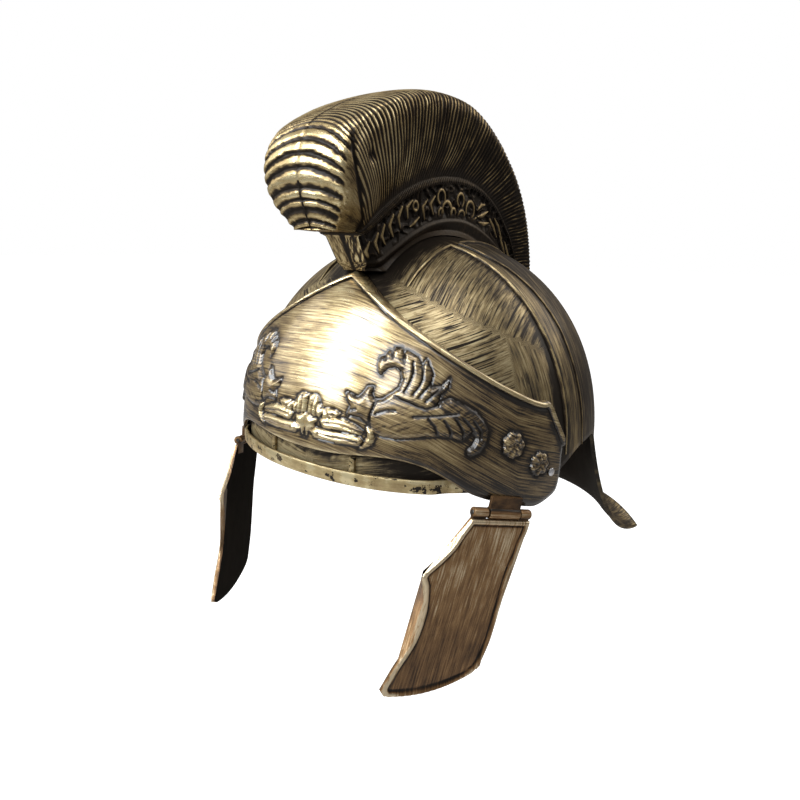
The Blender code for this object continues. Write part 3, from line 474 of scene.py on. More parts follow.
def make_dome():
    columns, rows, neck_rows, neck_face_span = 360, 74, 44, 72.0
    azimuth = np.arange(columns) * 1.0
    foot = rim_height(azimuth)
    apex = np.cos(0.004) ** (2 / SIDE)
    fall = np.cos(np.linspace(0.02, 1, rows) * math.pi / 2) ** (2 / SIDE)
    points = shell(azimuth[None, :], foot + (RISE - foot) * fall[:, None] / apex).reshape(-1, 3)
    faces = quads(rows, columns, wrap=True) + [list(range(columns))[::-1]]
    rear = np.where(np.abs(azimuth - 180) <= neck_face_span)[0]
    t = np.linspace(0, 1, neck_rows + 1)[1:]
    neck = neck_point(azimuth[rear][None, :] + 0 * t[:, None], t[:, None] + 0 * rear[None, :])
    above, start = (rows - 1) * columns + rear, len(points)
    for i in range(neck_rows):
        here = start + i * len(rear) + np.arange(len(rear))
        faces += np.stack([above[:-1], above[1:], here[1:], here[:-1]], -1).tolist()
        above = here
    points = np.concatenate([points, neck.reshape(-1, 3)])
    turned = np.concatenate([np.tile(azimuth, rows), np.tile(azimuth[rear], neck_rows)])
    tone, chart, cuts = dome_look(points, (turned + 180) % 360 - 180)
    guard = np.arange(len(points)) >= start
    lip = np.concatenate([np.zeros(start), np.repeat(t, len(rear))])
    across = np.concatenate([np.zeros(start), np.tile(azimuth[rear] - 180, neck_rows)]) * GIRTH
    chart[:, 0] = np.where(guard, lip * 0.09, chart[:, 0])
    chart[:, 1] = np.where(guard, across, chart[:, 1])
    smooth_part = guard | (points[:, 1] > np.interp(np.abs(points[:, 0]), *REAR_RIB.T))
    tone = np.where(guard, 0.40, tone) + 0.14 * ease(lip, 0.90, 0.97)
    tone += 0.05 * smooth_part * (noise(points[:, 0] * 60, points[:, 2] * 60, 65) - 1)
    faces = [face[::-1] for face in faces]
    made = build("dome", points, faces, DOME, tone, chart, cuts=cuts)
    made.data.materials.append(LINER)
    wall = made.modifiers.new("wall", "SOLIDIFY")
    wall.thickness, wall.offset = WALL, -1
    wall.use_even_offset = True
    wall.material_offset = 1
    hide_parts("skull_shell")


def rib_object(name, path, tone, height=0.0013):
    up = outward(path)
    ahead = unit(np.gradient(path, axis=0))
    side = unit(np.cross(up, ahead))
    fade = np.minimum(1, (len(path) - 1 - np.arange(len(path))) / 14)[:, None]
    height, half = height * (0.35 + 0.65 * fade), 0.0009 * (0.5 + 0.5 * fade)
    profile = [(-1.25, -0.55), (-1.0, 0.25), (-0.55, 0.85), (0.0, 1.0), (0.55, 0.85), (1.0, 0.25),
               (1.25, -0.55)]
    rings = np.stack([path + side * half * a + up * height * b for a, b in profile], 1)
    points, faces = sweep(rings)
    length = np.concatenate([[0], np.cumsum(np.linalg.norm(np.diff(path, axis=0), axis=1))])
    length = np.repeat(length, len(profile))
    chart = np.stack([length, np.tile(np.arange(len(profile)) * 0.0005, len(path)), 0 * length], -1)
    crest = np.tile([-0.75, -0.55, 0.05, 0.28, 0.05, -0.55, -0.75], len(path))
    wear = 0.12 * noise(length, length * 0, 3, 220)
    build(name, points, faces, BEAD, tone + crest + wear, chart)


def across_path(side, line):
    steps = 90
    start = math.atan2(line[0, 0], 0.1085)
    angle = np.linspace(start, math.radians(84), steps)
    y = np.full(steps, line[0, 1])
    for _ in range(6):
        origin = np.stack([0 * y, y, 0 * y], -1)
        path = cast(origin, np.stack([side * np.sin(angle), 0 * y, np.cos(angle)], -1))
        y = np.interp(np.abs(path[:, 0]), *line.T)
    return path


def along_path(side, y_top, end_angle):
    steps = 60
    angle = np.linspace(math.atan2(y_top, RISE), math.radians(end_angle), steps)
    origin = np.tile([side * RIB_X, 0.0, 0.0], (steps, 1))
    return cast(origin, np.stack([0 * angle, np.sin(angle), np.cos(angle)], -1))


def make_ribs():
    for side, word in SIDES:
        rib_object(f"rib_front_{word}", across_path(side, FRONT_RIB), 0.62)
        rib_object(f"rib_rear_{word}", across_path(side, REAR_RIB), 0.42, height=0.0008)
        rib_object(f"rib_brow_{word}", along_path(side, FRONT_RIB[0, 1], -33), 0.60)
        rib_object(f"rib_nape_{word}", along_path(side, REAR_RIB[0, 1], 78), 0.42)


def make_band():
    azimuth = np.linspace(-BAND_END, BAND_END, 150)
    fade = ease(np.abs(azimuth), BAND_FULL_TO, BAND_TUCKED_AT)
    reach = BAND_REACH + (BAND_REACH_TUCKED - BAND_REACH) * fade
    inner = np.maximum(reach - BAND_THICKNESS, 0.0002)
    low, top = BAND_FOOT, BAND_TOP
    corner = 0.0005
    profile = [(None, low + 0.0002), (reach - corner, low), (reach - 0.3 * corner, low + 0.3 * corner),
               (reach, low + corner), (reach + 0.0002, (low + top) / 2), (reach, top - corner),
               (reach - 0.3 * corner, top - 0.3 * corner), (reach - corner, top), (inner, top),
               (inner, low + BAND_THICKNESS), (None, low + BAND_THICKNESS)]
    rings = []
    for offset, height in profile:
        offset = -0.0012 + 0 * azimuth if offset is None else offset
        p = np.stack([shell(a, 0.0, o) for a, o in zip(azimuth, offset)])
        p[:, 2] = height
        rings.append(p)
    points, faces = sweep(np.stack(rings, 1))
    tones = np.tile([-0.2, 0.60, 0.8, 0.88, 0.80, 0.92, 0.98, 0.7, 0.1, -0.3, -0.4], len(azimuth))
    along = np.repeat(azimuth * GIRTH, len(profile))
    chart = np.stack([along, np.tile(np.arange(len(profile)) * 0.0009, len(azimuth)), 0 * along], -1)
    edge = 0.18 * noise(along, 0 * along, 11, 300) + 0.12 * noise(along, chart[:, 1], 12, 900)
    build("rim_band", points, faces, BAND, tones + edge, chart)
    for side, word in SIDES:
        rings = []
        for height in np.linspace(BAND_FOOT + 0.0008, 0.0145, 6):
            corners = ((-1, -0.001), (-1, 0.0014), (-0.5, 0.0019), (0.5, 0.0019), (1, 0.0014), (1, -0.001))
            rings.append([cast(np.array([side * 0.0252 + dx * 0.0013, 0.0, height]),
                               np.array([0, -1.0, 0]), offset) for dx, offset in corners])
        points, faces = sweep(rings)
        build(f"rim_web_{word}", points, faces, BAND, 0.72, points)


# Brow plate.
# Outlines and cut lines of the relief, as azimuth and height in cm; each is mirrored.
BEAST = ((11.4, 3.28), (11.6, 3.5), (12.3, 3.8), (11.0, 4.05), (10.7, 4.35), (12.2, 4.28), (14.1, 4.18),
         (15.5, 4.4), (16.6, 4.68), (18.2, 4.72), (18.0, 4.4), (18.9, 4.18), (20.9, 4.2), (23.2, 4.45),
         (25.5, 4.7), (26.4, 5.1), (25.7, 5.45), (23.9, 5.6), (21.8, 5.53), (20.5, 5.35), (20.0, 5.2),
         (19.1, 5.35), (18.6, 5.65), (19.1, 5.95), (20.5, 6.05), (21.4, 6.25), (22.7, 6.18), (23.4, 6.38),
         (25.5, 6.38), (26.3, 6.05), (26.7, 6.28), (28.6, 6.2), (30.5, 6.03), (31.8, 5.7), (33.0, 5.95),
         (33.6, 5.85), (35.0, 5.35), (34.3, 4.95), (34.8, 4.8), (37.7, 4.9), (40.0, 5.23), (39.5, 4.85),
         (37.3, 4.55), (36.5, 4.15), (40.0, 4.4), (43.6, 4.15), (47.3, 3.85), (49.5, 3.45), (50.9, 3.0),
         (50.2, 2.5), (48.2, 2.08), (45.7, 1.9), (44.5, 2.02), (44.8, 2.25), (46.1, 2.4), (47.3, 2.75),
         (46.1, 2.95), (43.2, 2.6), (40.0, 2.75), (37.3, 2.8), (33.6, 2.75), (30.0, 2.68), (25.5, 2.6),
         (21.8, 2.63), (19.5, 2.75), (18.2, 3.05), (17.7, 3.1), (15.5, 3.35), (12.7, 3.4))
BEAST_GROOVES = (
    ((26.3, 6.05), (26.6, 5.80)), ((20.5, 6.05), (21.0, 5.88)), ((22.7, 6.18), (23.0, 5.98)),
    ((29.2, 5.85), (29.3, 5.35), (28.4, 4.95), (27.2, 4.62)),
    ((32.0, 5.65), (32.2, 5.20), (31.2, 4.85), (29.6, 4.55)),
    ((37.6, 4.85), (35.6, 4.60), (33.0, 4.25)), ((34.3, 4.95), (33.0, 4.75), (31.4, 4.45)),
    ((18.0, 3.05), (18.1, 3.5), (19.1, 3.95), (19.6, 4.2)), ((19.8, 3.62), (22.2, 3.78), (24.8, 3.82)),
    ((12.7, 3.62), (14.0, 3.72)), ((24.5, 4.40), (28.0, 4.20), (33.0, 3.95), (36.5, 4.10)),
    ((33.9, 3.55), (35.6, 3.25), (36.8, 2.80)), ((38.2, 3.50), (39.7, 3.15), (40.2, 2.75)),
    ((41.4, 3.55), (43.2, 3.10), (43.6, 2.65)), ((43.6, 3.55), (45.9, 3.15), (46.6, 2.85)),
    ((46.4, 3.45), (48.2, 3.05), (48.3, 2.70)), ((30.0, 3.62), (36.0, 3.68), (42.0, 3.78)))
SMALL_SHAPES = (
    ((17.3, 3.0), (19.1, 2.88), (19.9, 2.55), (19.2, 2.22), (17.3, 2.03), (15.5, 1.97), (16.8, 2.25),
     (17.6, 2.55), (17.3, 2.85)),
    ((0.1, 3.95), (2.0, 4.0), (3.2, 3.78), (4.3, 3.2), (3.6, 3.03), (1.4, 3.0), (0.1, 3.15)),
    ((4.1, 3.48), (7.3, 3.52), (9.7, 3.40), (8.2, 3.15), (4.5, 3.0)),
    ((8.2, 3.15), (10.9, 3.17), (14.5, 2.97), (16.8, 2.76), (15.9, 2.58), (10.0, 2.64), (5.0, 2.6),
     (3.6, 2.95)),
    ((3.0, 2.56), (9.0, 2.56), (15.5, 2.50), (16.7, 2.34), (15.5, 2.10), (10.0, 2.06), (5.0, 2.06),
     (2.7, 2.10), (1.2, 2.35)),
    ((0.0, 3.1), (2.8, 2.95), (2.6, 2.6), (1.0, 2.35), (0.5, 2.02), (-0.2, 2.6)))
SMALL_GROOVES = (
    ((1.6, 3.9), (1.3, 3.4), (1.5, 3.05)), ((5.2, 2.86), (9.0, 2.90), (13.0, 2.80), (16.0, 2.70)),
    ((4.0, 2.32), (9.0, 2.30), (15.0, 2.28)), ((3.2, 3.72), (2.6, 3.4), (2.9, 3.05)),
    ((5.2, 3.42), (6.3, 3.22), (7.8, 3.30)))
# Azimuth, height in cm, radius in cm and turn of each rosette.
ROSETTES = ((58.4, 2.28, 0.60, 0.0), (67.4, 1.22, 0.56, 0.5))
DEGREE = GIRTH / CM


def brow_relief(azimuth, z):
    """Height in metres and tone of the relief at places on the plate; z is in centimetres."""
    height, tone = np.zeros(z.shape), np.zeros(z.shape)
    outside = np.full(z.shape, 9.0)
    for side in (1, -1):
        x = side * azimuth * DEGREE
        near = (x > -0.6) & (x < 53 * DEGREE) & (z > 1.6) & (z < 6.8)
        xs, zs = x[near], z[near]
        part_h, part_t, part_out = np.zeros(xs.shape), np.zeros(xs.shape), np.full(xs.shape, 9.0)
        fur = np.clip(noise(xs * 3.0 + zs * 1.2, zs * 20.0 - xs * 7.0, 23), 0, 1)
        for shapes, grooves, full, soft, gold in (((BEAST,), BEAST_GROOVES, 0.00150, 0.16, 0.0),
                                                  (SMALL_SHAPES, SMALL_GROOVES, 0.00145, 0.15, 0.42)):
            group_h, cut = np.zeros(xs.shape), np.zeros(xs.shape)
            for shape in shapes:
                outline = np.array(shape) * (DEGREE, 1.0)
                gap, _ = path_distance(xs, zs, outline, closed=True)
                within = inside_path(xs, zs, outline)
                raised = full * (1 - np.exp(-gap / soft * 1.6)) * 1.12
                group_h = np.maximum(group_h, np.where(within, raised, 0))
                part_out = np.minimum(part_out, np.where(within, 0, gap))
            for groove in grooves:
                gap, _ = path_distance(xs, zs, np.array(groove) * (DEGREE, 1.0))
                cut = np.maximum(cut, bell(gap, 0, 0.055))
            cut *= group_h > 0
            part_h = np.maximum(part_h, group_h - 0.00075 * cut)
            shade = -0.38 + gold + 195 * group_h - (1.10 - gold) * cut - (0.40 - 0.6 * gold) * fur
            part_t = np.where(group_h > 0, shade, part_t)
        height[near] = np.maximum(height[near], part_h)
        tone[near] += part_t
        outside[near] = np.minimum(outside[near], part_out)
        for a0, z0, radius, turn in ROSETTES:
            dx, dz = x - a0 * DEGREE, z - z0
            r = np.hypot(dx, dz)
            spin = np.arctan2(dz, dx)
            rim = radius * (0.86 + 0.14 * np.abs(np.cos(3.5 * spin + turn)))
            inside = r < rim
            bumps = 0.5 + 0.5 * np.cos(7 * spin + turn * 2) * ease(r, 0.12, 0.3)
            bumps += 0.35 * noise(dx, dz, 21, 9.0)
            form = 0.0018 * np.sqrt(np.clip(1 - (r / rim) ** 4, 0, 1)) * (0.62 + 0.38 * bumps)
            form -= 0.0008 * bell(r, 0, 0.10) - 0.0005 * bell(r, 0.24, 0.05)
            height = np.where(inside, np.maximum(height, form), height)
            tone = np.where(inside, 0.22 * bumps - 0.12 + 0.35 * noise(dx, dz, 22, 16.0), tone)
            outside = np.minimum(outside, np.where(inside, 0, r - rim))
    ink, shadow = [bell(outside, 0, width) * (outside > 0) for width in (0.085, 0.26)]
    return height - 0.00025 * ink, tone - 0.75 * ink - 0.22 * shadow


def make_brow():
    half, rows = 300, 132
    edges = spline(BROW_EDGES, np.linspace(0, 1, half))
    edges = np.concatenate([edges[:0:-1] * (-1, 1, -1, 1), edges])
    azimuth, z = between(edges, np.linspace(0, 1, rows)[:, None])
    away = np.abs(azimuth)
    dense = spline(BROW_EDGES, np.linspace(0, 1, 90)) * (DEGREE, 1, DEGREE, 1)
    to_upper, _ = path_distance(away * DEGREE, z, dense[:, 2:])
    to_lower, _ = path_distance(away * DEGREE, z, np.concatenate([dense[:, :2], dense[-1:, 2:]]))
    relief, tone = brow_relief(azimuth, z)
    bead = np.sqrt(np.clip(1 - ((to_upper - 0.13) / 0.13) ** 2, 0, 1))
    groove = bell(to_upper, 0.31, 0.05)
    lobe = ease(away, 44, 56)
    roll = np.clip(1 - to_lower / (0.22 + 0.14 * lobe), 0, 1) ** 2
    lip = bell(to_lower, 0.03, 0.05)
    offset = PLATE_OUTER - 0.0001 + relief + 0.0011 * bead - 0.0003 * groove + 0.0004 * lip
    front = shell(azimuth, z * CM, offset - (0.0008 + 0.0010 * lobe) * roll)
    back_a, back_z = between(edges, np.linspace(0, 1, 10)[:, None])
    seat = np.full(back_z.shape, PLATE_INNER)
    seat[-1] = 0.0005
    points, faces = closed_sheet(front, shell(back_a, back_z * CM, seat))

    # Painted highlight in front; darker at the sides, partly a darker patina and partly painted shade; painted
    # shade along the lower edge and where it rolls under on the lobes; a dark groove below the bead.
    base = 0.70 - 0.37 * ease(away, 27, 57) + 0.06 * (1 - ease(away, 0, 20)) + 0.10 * lobe
    base -= 0.07 * ease(-azimuth, 2, 24) + 0.10 * ease(-azimuth, 42, 58)
    base -= (0.14 + 0.26 * ease(away, 14, 30)) * ease(to_lower, 1.0, 0.3) * (1 - lobe * 0.6)
    tone += base + 0.26 * bead * (base < 0.6) + 0.14 * bead
    tone -= 0.85 * groove + 0.30 * bell(to_upper, 0.45, 0.14) * (0.35 + lobe)
    tone -= 0.75 * lobe * np.clip(roll * 2.2, 0, 1) - 0.33 * lip * (1 + lobe)

    # Strokes run along the plate and fall to the sides, more on the left.
    fall = (np.sqrt(azimuth ** 2 + 144) - 12) * np.where(azimuth > 0, 0.0535, 0.012)
    fall += 0.045 * np.clip(away - 34, 0, 26)
    chart = np.stack([azimuth * GIRTH + 0.25 * z * CM, (z + fall) * CM, 0 * z], -1)
    back_chart = np.stack([back_a * GIRTH, back_z * CM, 0 * back_z], -1)
    made = build("brow_plate_relief", points, faces, BROW, np.append(tone, np.full(back_z.size, 0.25)),
                 np.concatenate([chart.reshape(-1, 3), back_chart.reshape(-1, 3)]), smooth=50)
    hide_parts("brow_plate")


# Hinges and cheek guards.
def hinge_frame(side):
    flip = np.array([side, 1, 1])
    centre, axis, out = HINGE_CENTRE * flip, HINGE_AXIS * flip, GUARD_OUT * flip
    up = unit(np.cross(out, axis) * side)
    return centre, axis, unit(out), up


def rolled(radius, half_depth):
    """Section of a strip that is rolled round a pin and runs up from it."""
    start, steps = math.asin(half_depth / radius), 26
    turns = [start + (2 * math.pi - 2 * start) * i / steps for i in range(steps + 1)]
    outer = [(radius * math.sin(angle), radius * math.cos(angle)) for angle in turns]
    return [(half_depth, STRIP_REACH)] + outer + [(-half_depth, STRIP_REACH)]


def hinge_piece(name, side, low, high, section, body):
    bevel = 0.0003
    stations = [(low, 0.93), (low + bevel, 1.0), (high - bevel, 1.0), (high, 0.93)]
    centre, axis, out, up = hinge_frame(side)
    points, faces = sweep([[centre + axis * d + out * a * s + up * b * (1 if abs(b) > 0.004 else s)
                            for a, b in section] for d, s in stations])
    order = np.arange(len(section))
    chart = np.stack([np.repeat([d for d, _ in stations], len(order)), np.tile(order * 0.0008, 4),
                      np.zeros(len(points))], -1)
    turn = np.tile(np.minimum(order, order[::-1]), len(stations))
    # Painted shade where the strip turns into the roll, and a painted highlight along the roll.
    tone = 0.5 - 0.6 * bell(turn, 2.5, 1.3) + 0.28 * ease(turn, 4, 7) * (1 - ease(turn, 9, 12))
    tone += 0.1 * noise(chart[:, 0], chart[:, 1], 5, 700)
    return build(name, points, faces, GUARD, tone, chart, body, smooth=50)


def make_guard(side, word):
    body = f"{word}_cheek"
    rows, columns = 120, 64
    f = np.linspace(0, 1, columns)[None, :]
    along, height = between(spline(GUARD_EDGES, np.linspace(0, 1, rows))[:, None], f)
    reach = np.linspace(0, 1, rows)[:, None]
    foot = np.clip((reach - 0.72) / 0.28, 0, 1) ** 2
    rounding = (0.34 * (1 - np.sqrt(1 - np.clip((f - 0.86) / 0.14, 0, 1) ** 2))
                + 0.22 * (1 - np.sqrt(1 - np.clip((0.07 - f) / 0.07, 0, 1) ** 2)))
    height = height - 0.50 * foot * 4 * f * (1 - f) + rounding * foot
    flat = np.stack([along, height], -1)
    outline = np.concatenate([flat[0], flat[:, -1], flat[-1, ::-1], flat[::-1, 0]])[::4]
    gap, _ = path_distance(along, height, outline, closed=True)
    bead = np.sqrt(np.clip(1 - ((gap - 0.115) / 0.115) ** 2, 0, 1))
    groove = bell(gap, 0.27, 0.05)
    bow = 0.0006 * (1 - ((along + 2.2) / 4.0) ** 2)

    def place(a, z, out):
        p = HINGE_CENTRE + a[..., None] * CM * GUARD_ALONG + out[..., None] * GUARD_OUT
        p[..., 2] = z * CM
        p[..., 0] *= side
        return p

    front = place(along, height, bow + 0.0009 + 0.00095 * bead - 0.0002 * groove)
    pick = np.linspace(0, rows - 1, 14).astype(int)
    back = place(along[pick], height[pick], bow[pick] - 0.0009)
    if side < 0:
        front, back = front[:, ::-1], back[:, ::-1]
        along, height, gap, bead, groove = [v[:, ::-1] for v in (along, height, gap, bead, groove)]
    points, faces = closed_sheet(front, back)
    # Painted light where lit, and lighter towards the top.
    lit = ease(along - 0.45 * (height + 3), -3.2, -4.4)
    tone = 0.52 + 0.25 * bead - 0.75 * groove + 0.07 * noise(along, height, 31, 0.9)
    tone += 0.25 * ease(gap, 0.05, 0.0) + 0.10 * lit + 0.24 * ease(height, -6.5, -2.0)
    # Painted highlight along the bead at the front edge.
    toward_front = np.linspace(1, 0, columns)[::side]
    tone += 0.45 * bead * ease(toward_front, 0.80, 0.95) * ease(reach, 0.02, 0.06)
    chart = np.stack([height * CM + 0.2 * along * CM, along * CM - 0.28 * height * CM, 0 * along], -1)
    plate = build(f"cheek_plate_{word}", points, faces, GUARD, np.append(tone, np.full(back[..., 0].size, 0.3)),
                  np.concatenate([chart.reshape(-1, 3), chart[pick].reshape(-1, 3)]), body, smooth=50)
    plate.data.materials.append(LINER)
    first = front.shape[0] * front.shape[1]
    for face in plate.data.polygons:
        if min(face.vertices) >= first:
            face.material_index = 1
    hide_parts(f"cheek_guard_{word}")
    for number, (low, high) in enumerate(EARS):
        section = [(a, -b) for a, b in rolled(EAR_RADIUS, 0.0008)][::-1]
        ear = hinge_piece(f"cheek_ear_{word}_{number}", side, low, high, section, body)


def make_hinges():
    for side, word in SIDES:
        make_guard(side, word)
        strip = rolled(KNUCKLE_RADIUS, 0.0009)
        knuckle = hinge_piece(f"brow_knuckle_{word}", side, -KNUCKLE_HALF, KNUCKLE_HALF, strip, BODY)
        centre, axis, out, up = hinge_frame(side)
        (low, high), bevel = PIN_ENDS, 0.0003
        stations = ((low, 0.7 * PIN_RADIUS), (low + bevel, PIN_RADIUS), (high - bevel, PIN_RADIUS),
                    (high, 0.7 * PIN_RADIUS))
        points, faces = turned(centre, axis, up, out, stations, 24)
        pin = build(f"pin_{word}", points, faces, PIN, 0.5, points)
        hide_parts(f"hinge_pin_{word}")


def make_rivets():
    radius, seat = 0.0020, PLATE_OUTER + 0.0004
    for side, word in SIDES:
        origin = shell(side * 71.7, 0.0068)
        axis = outward(origin)
        across = unit(np.cross(axis, [0, 0, 1.0]))
        up = unit(np.cross(across, axis))
        profile = [(-WALL - 0.0010, 0.0010), (seat, 0.0010), (seat, 0.0019), (seat + 0.0002, radius)]
        for angle in np.linspace(0.25, 1, 6) * math.pi / 2:
            profile.append((seat + 0.0002 + 0.0009 * math.sin(angle), radius * math.cos(angle) + 0.0001))
        profile += [(seat + 0.0009, 0.0006), (seat + 0.0006, 0.00045), (seat + 0.0006, 0.0002)]
        points, faces = turned(origin, axis, across, up, profile, 32)
        rivet = build(f"rivet_head_{word}", points, faces, STEEL, 0.8, points)
        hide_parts(f"rivet_{word}")


# Crest.
def ring_path(y, z, radius, start=0.0, end=360.0, width=0.22):
    angles = np.radians(np.linspace(start, end, 14))
    return [(y + radius * math.cos(a), z + radius * math.sin(a), width) for a in angles]


# Scrolls of the holder band, as Y, Z and width in cm.
HOLDER = (
    ring_path(-0.55, 13.22, 0.36, -20, 250), ring_path(1.45, 13.18, 0.36, -60, 240),
    ring_path(0.05, 12.52, 0.50, -10, 190, 0.26), ring_path(-0.55, 12.42, 0.22),
    ring_path(0.72, 12.46, 0.24), ring_path(1.62, 12.28, 0.36, 20, 320),
    ring_path(2.55, 12.72, 0.46, -60, 200, 0.24), ring_path(-2.95, 12.62, 0.22),
    ((2.4, 12.3, 0.15), (2.9, 12.1, 0.3), (3.3, 12.35, 0.1)),
    ((3.4, 12.75, 0.1), (3.85, 13.05, 0.36), (4.3, 13.1, 0.1)),
    ((3.5, 12.4, 0.1), (4.1, 12.5, 0.36), (4.7, 12.75, 0.1)),
    ((3.6, 12.1, 0.1), (4.2, 12.0, 0.34), (4.9, 12.1, 0.1)),
    ((3.6, 11.9, 0.1), (3.9, 11.6, 0.3), (4.4, 11.4, 0.1)),
    ((5.0, 12.3, 0.2), (5.5, 11.9, 0.34), (6.0, 11.3, 0.1)),
    ((5.6, 12.4, 0.1), (6.2, 11.9, 0.34), (6.7, 11.2, 0.15)),
    ((5.2, 11.5, 0.1), (5.8, 11.0, 0.34), (6.4, 10.6, 0.1)),
    ((6.4, 11.4, 0.1), (6.9, 10.8, 0.34), (7.3, 10.2, 0.1)),
    ((7.2, 11.0, 0.15), (7.7, 10.3, 0.34), (8.0, 9.6, 0.1)),
    ((7.9, 10.2, 0.1), (8.4, 9.4, 0.32), (8.6, 8.8, 0.1)),
    ((8.4, 9.4, 0.1), (8.9, 8.5, 0.30), (9.1, 7.9, 0.1)),
    ((8.8, 8.2, 0.1), (9.3, 7.4, 0.28), (9.5, 6.8, 0.1)),
    ((-1.2, 13.2, 0.15), (-1.6, 12.8, 0.34), (-1.3, 12.3, 0.15)),
    ((-1.9, 13.0, 0.1), (-2.3, 12.6, 0.34), (-2.1, 12.0, 0.15)),
    ((-2.6, 12.1, 0.1), (-3.0, 11.8, 0.3), (-3.4, 11.6, 0.1)),
    ((-3.2, 12.9, 0.1), (-3.7, 12.5, 0.34), (-3.6, 12.0, 0.1)),
    ((-4.1, 12.5, 0.2), (-4.4, 12.0, 0.34), (-4.2, 11.5, 0.1)),
    ((-4.8, 12.1, 0.2), (-5.1, 11.6, 0.34), (-4.8, 11.1, 0.15)),
    ((-5.5, 11.6, 0.2), (-5.7, 11.1, 0.32), (-5.4, 10.7, 0.1)),
    ((-6.0, 11.2, 0.2), (-6.2, 10.8, 0.32), (-5.9, 10.3, 0.1)),
    ((-6.6, 10.8, 0.15), (-6.7, 10.4, 0.3), (-6.4, 10.0, 0.1)))
# Place along the seam and number of the bar there; halves are grooves.
BAR_PLACES = np.array((
    (0.0, 0.0), (0.0113, 1.0), (0.0210, 1.5), (0.0291, 2.0), (0.0404, 2.5), (0.0485, 3.0), (0.0535, 3.5),
    (0.0614, 4.0), (0.0735, 4.5), (0.0905, 5.0), (0.1066, 5.5), (0.1179, 6.0), (0.1309, 6.5), (0.1438, 7.0),
    (0.1567, 7.5), (0.1712, 8.0), (0.1800, 8.5), (0.1890, 9.0), (0.2150, 12.0), (0.2700, 20.0), (1.0, 103.0)))
# Place along the crest, and place on the section, of the crease beside the bars, darkened with painted shade.
FOLD_GROOVE = np.array((
    (0.0, 6.2), (0.066, 6.5), (0.092, 7.17), (0.113, 7.5), (0.131, 7.92), (0.149, 8.62), (0.180, 9.4)))
FRONT_CAP, REAR_CAP = 14, 6
# Places on the section: end of the foot, holder panel, cord, first hair, edge of the bars, seam.
FOOT_END, PANEL_FROM, PANEL_TO, CORD_AT, HAIR_FROM, BARS_FROM, SEAM_AT = 2.2, 3.0, 4.6, 5.35, 6.0, 9.0, 12


def capped(values):
    """A grid with its end columns repeated, for the flat faces between them and the seam."""
    return np.concatenate([np.repeat(values[:, :1], FRONT_CAP, 1), values,
                           np.repeat(values[:, -1:], REAR_CAP, 1)], axis=1)


def crest_grid():
    """Half of the crest as rows from the foot's inner edge up to the seam, with a cap at each end."""
    columns = 860
    t = np.linspace(0, 1, columns)
    s = spline(CREST_SECTIONS, t) * CM
    zero = np.zeros(columns)
    low, cord, outer = [np.stack([zero, s[:, k], s[:, k + 1]], -1) for k in (0, 2, 4)]
    wide, narrow = s[:, 6], s[:, 7]
    down, stem, plume = unit(low - cord), cord - low, outer - cord

    # The foot lands on the dome, or ends level above the brow plate.
    begin = low + down * 0.03
    begin[:, 0] = narrow * 1.12
    foot = cast(begin, -down, CREST_SEAT)
    short = (foot[:, 2] < FOOT_LEVEL) & (foot[:, 1] < 0)
    step = (FOOT_LEVEL - foot[:, 2]) / down[:, 2]
    foot = np.where(short[:, None], foot + down * step[:, None], foot)

    keys = []
    for base, direction, f, x in (
            (foot, 0 * stem, 0.0, narrow * 1.12), (foot, low - foot, 0.45, narrow * 0.92),
            (low, stem, 0.0, narrow * 1.04), (low, stem, 0.10, narrow * 0.98),
            (low, stem, 0.88, narrow * 0.98), (low, stem, 0.97, narrow * 1.12),
            (cord, plume, 0.06, narrow * 1.06), (cord, plume, 0.40, narrow + (wide - narrow) * 0.62),
            (cord, plume, 0.74, narrow + (wide - narrow) * 0.95), (cord, plume, 0.90, wide * 0.97),
            (cord, plume, 0.965, wide * 0.80), (cord, plume, 0.992, wide * 0.45),
            (cord, plume, 1.0, zero + SEAM)):
        key = base + direction * f
        key[:, 0] = x
        keys.append(key)
    keys = np.stack(keys)
    counts = (4, 4, 3, 34, 5, 5, 9, 9, 8, 8, 8, 7)
    place = np.concatenate([[0]] + [k + np.linspace(0, 1, n + 1)[1:] for k, n in enumerate(counts)])
    i = np.minimum(place.astype(int), len(keys) - 2)
    f = (place - i)[:, None, None]
    line = keys[i] * (1 - f) + keys[i + 1] * f
    bent = curve(keys.reshape(len(keys), -1), place).reshape(line.shape)
    straight = ((place < HAIR_FROM) & (place > 0))[:, None, None]
    grid = np.where(straight, line, bent)
    grid[..., 0] = np.maximum(grid[..., 0], SEAM)
    normal = unit(np.cross(np.gradient(grid, axis=1), np.gradient(grid, axis=0)))
    normal *= np.sign(normal[40, 300, 0])
    tt, pp = np.meshgrid(t, place)
    return [capped(v) for v in (tt, pp, grid, normal)] + [capped(cord[None])[0]]


def holder_scrolls(y, z):
    """Height from 0 to 1 of the scrolls and of the winding lines between them."""
    form = np.zeros(y.shape)
    for path in HOLDER:
        gap, width = path_distance(y, z, path)
        inside = np.clip(1 - (gap / np.maximum(width * 0.66, 1e-6)) ** 2, 0, 1)
        form = np.maximum(form, np.sqrt(inside))
    winding = np.clip(1 - np.abs(noise(y, z, 50, 2.7)) / 0.30, 0, 1) * (1 - ease(form, 0.0, 0.5))
    return np.maximum(form, 0.85 * np.sqrt(winding))


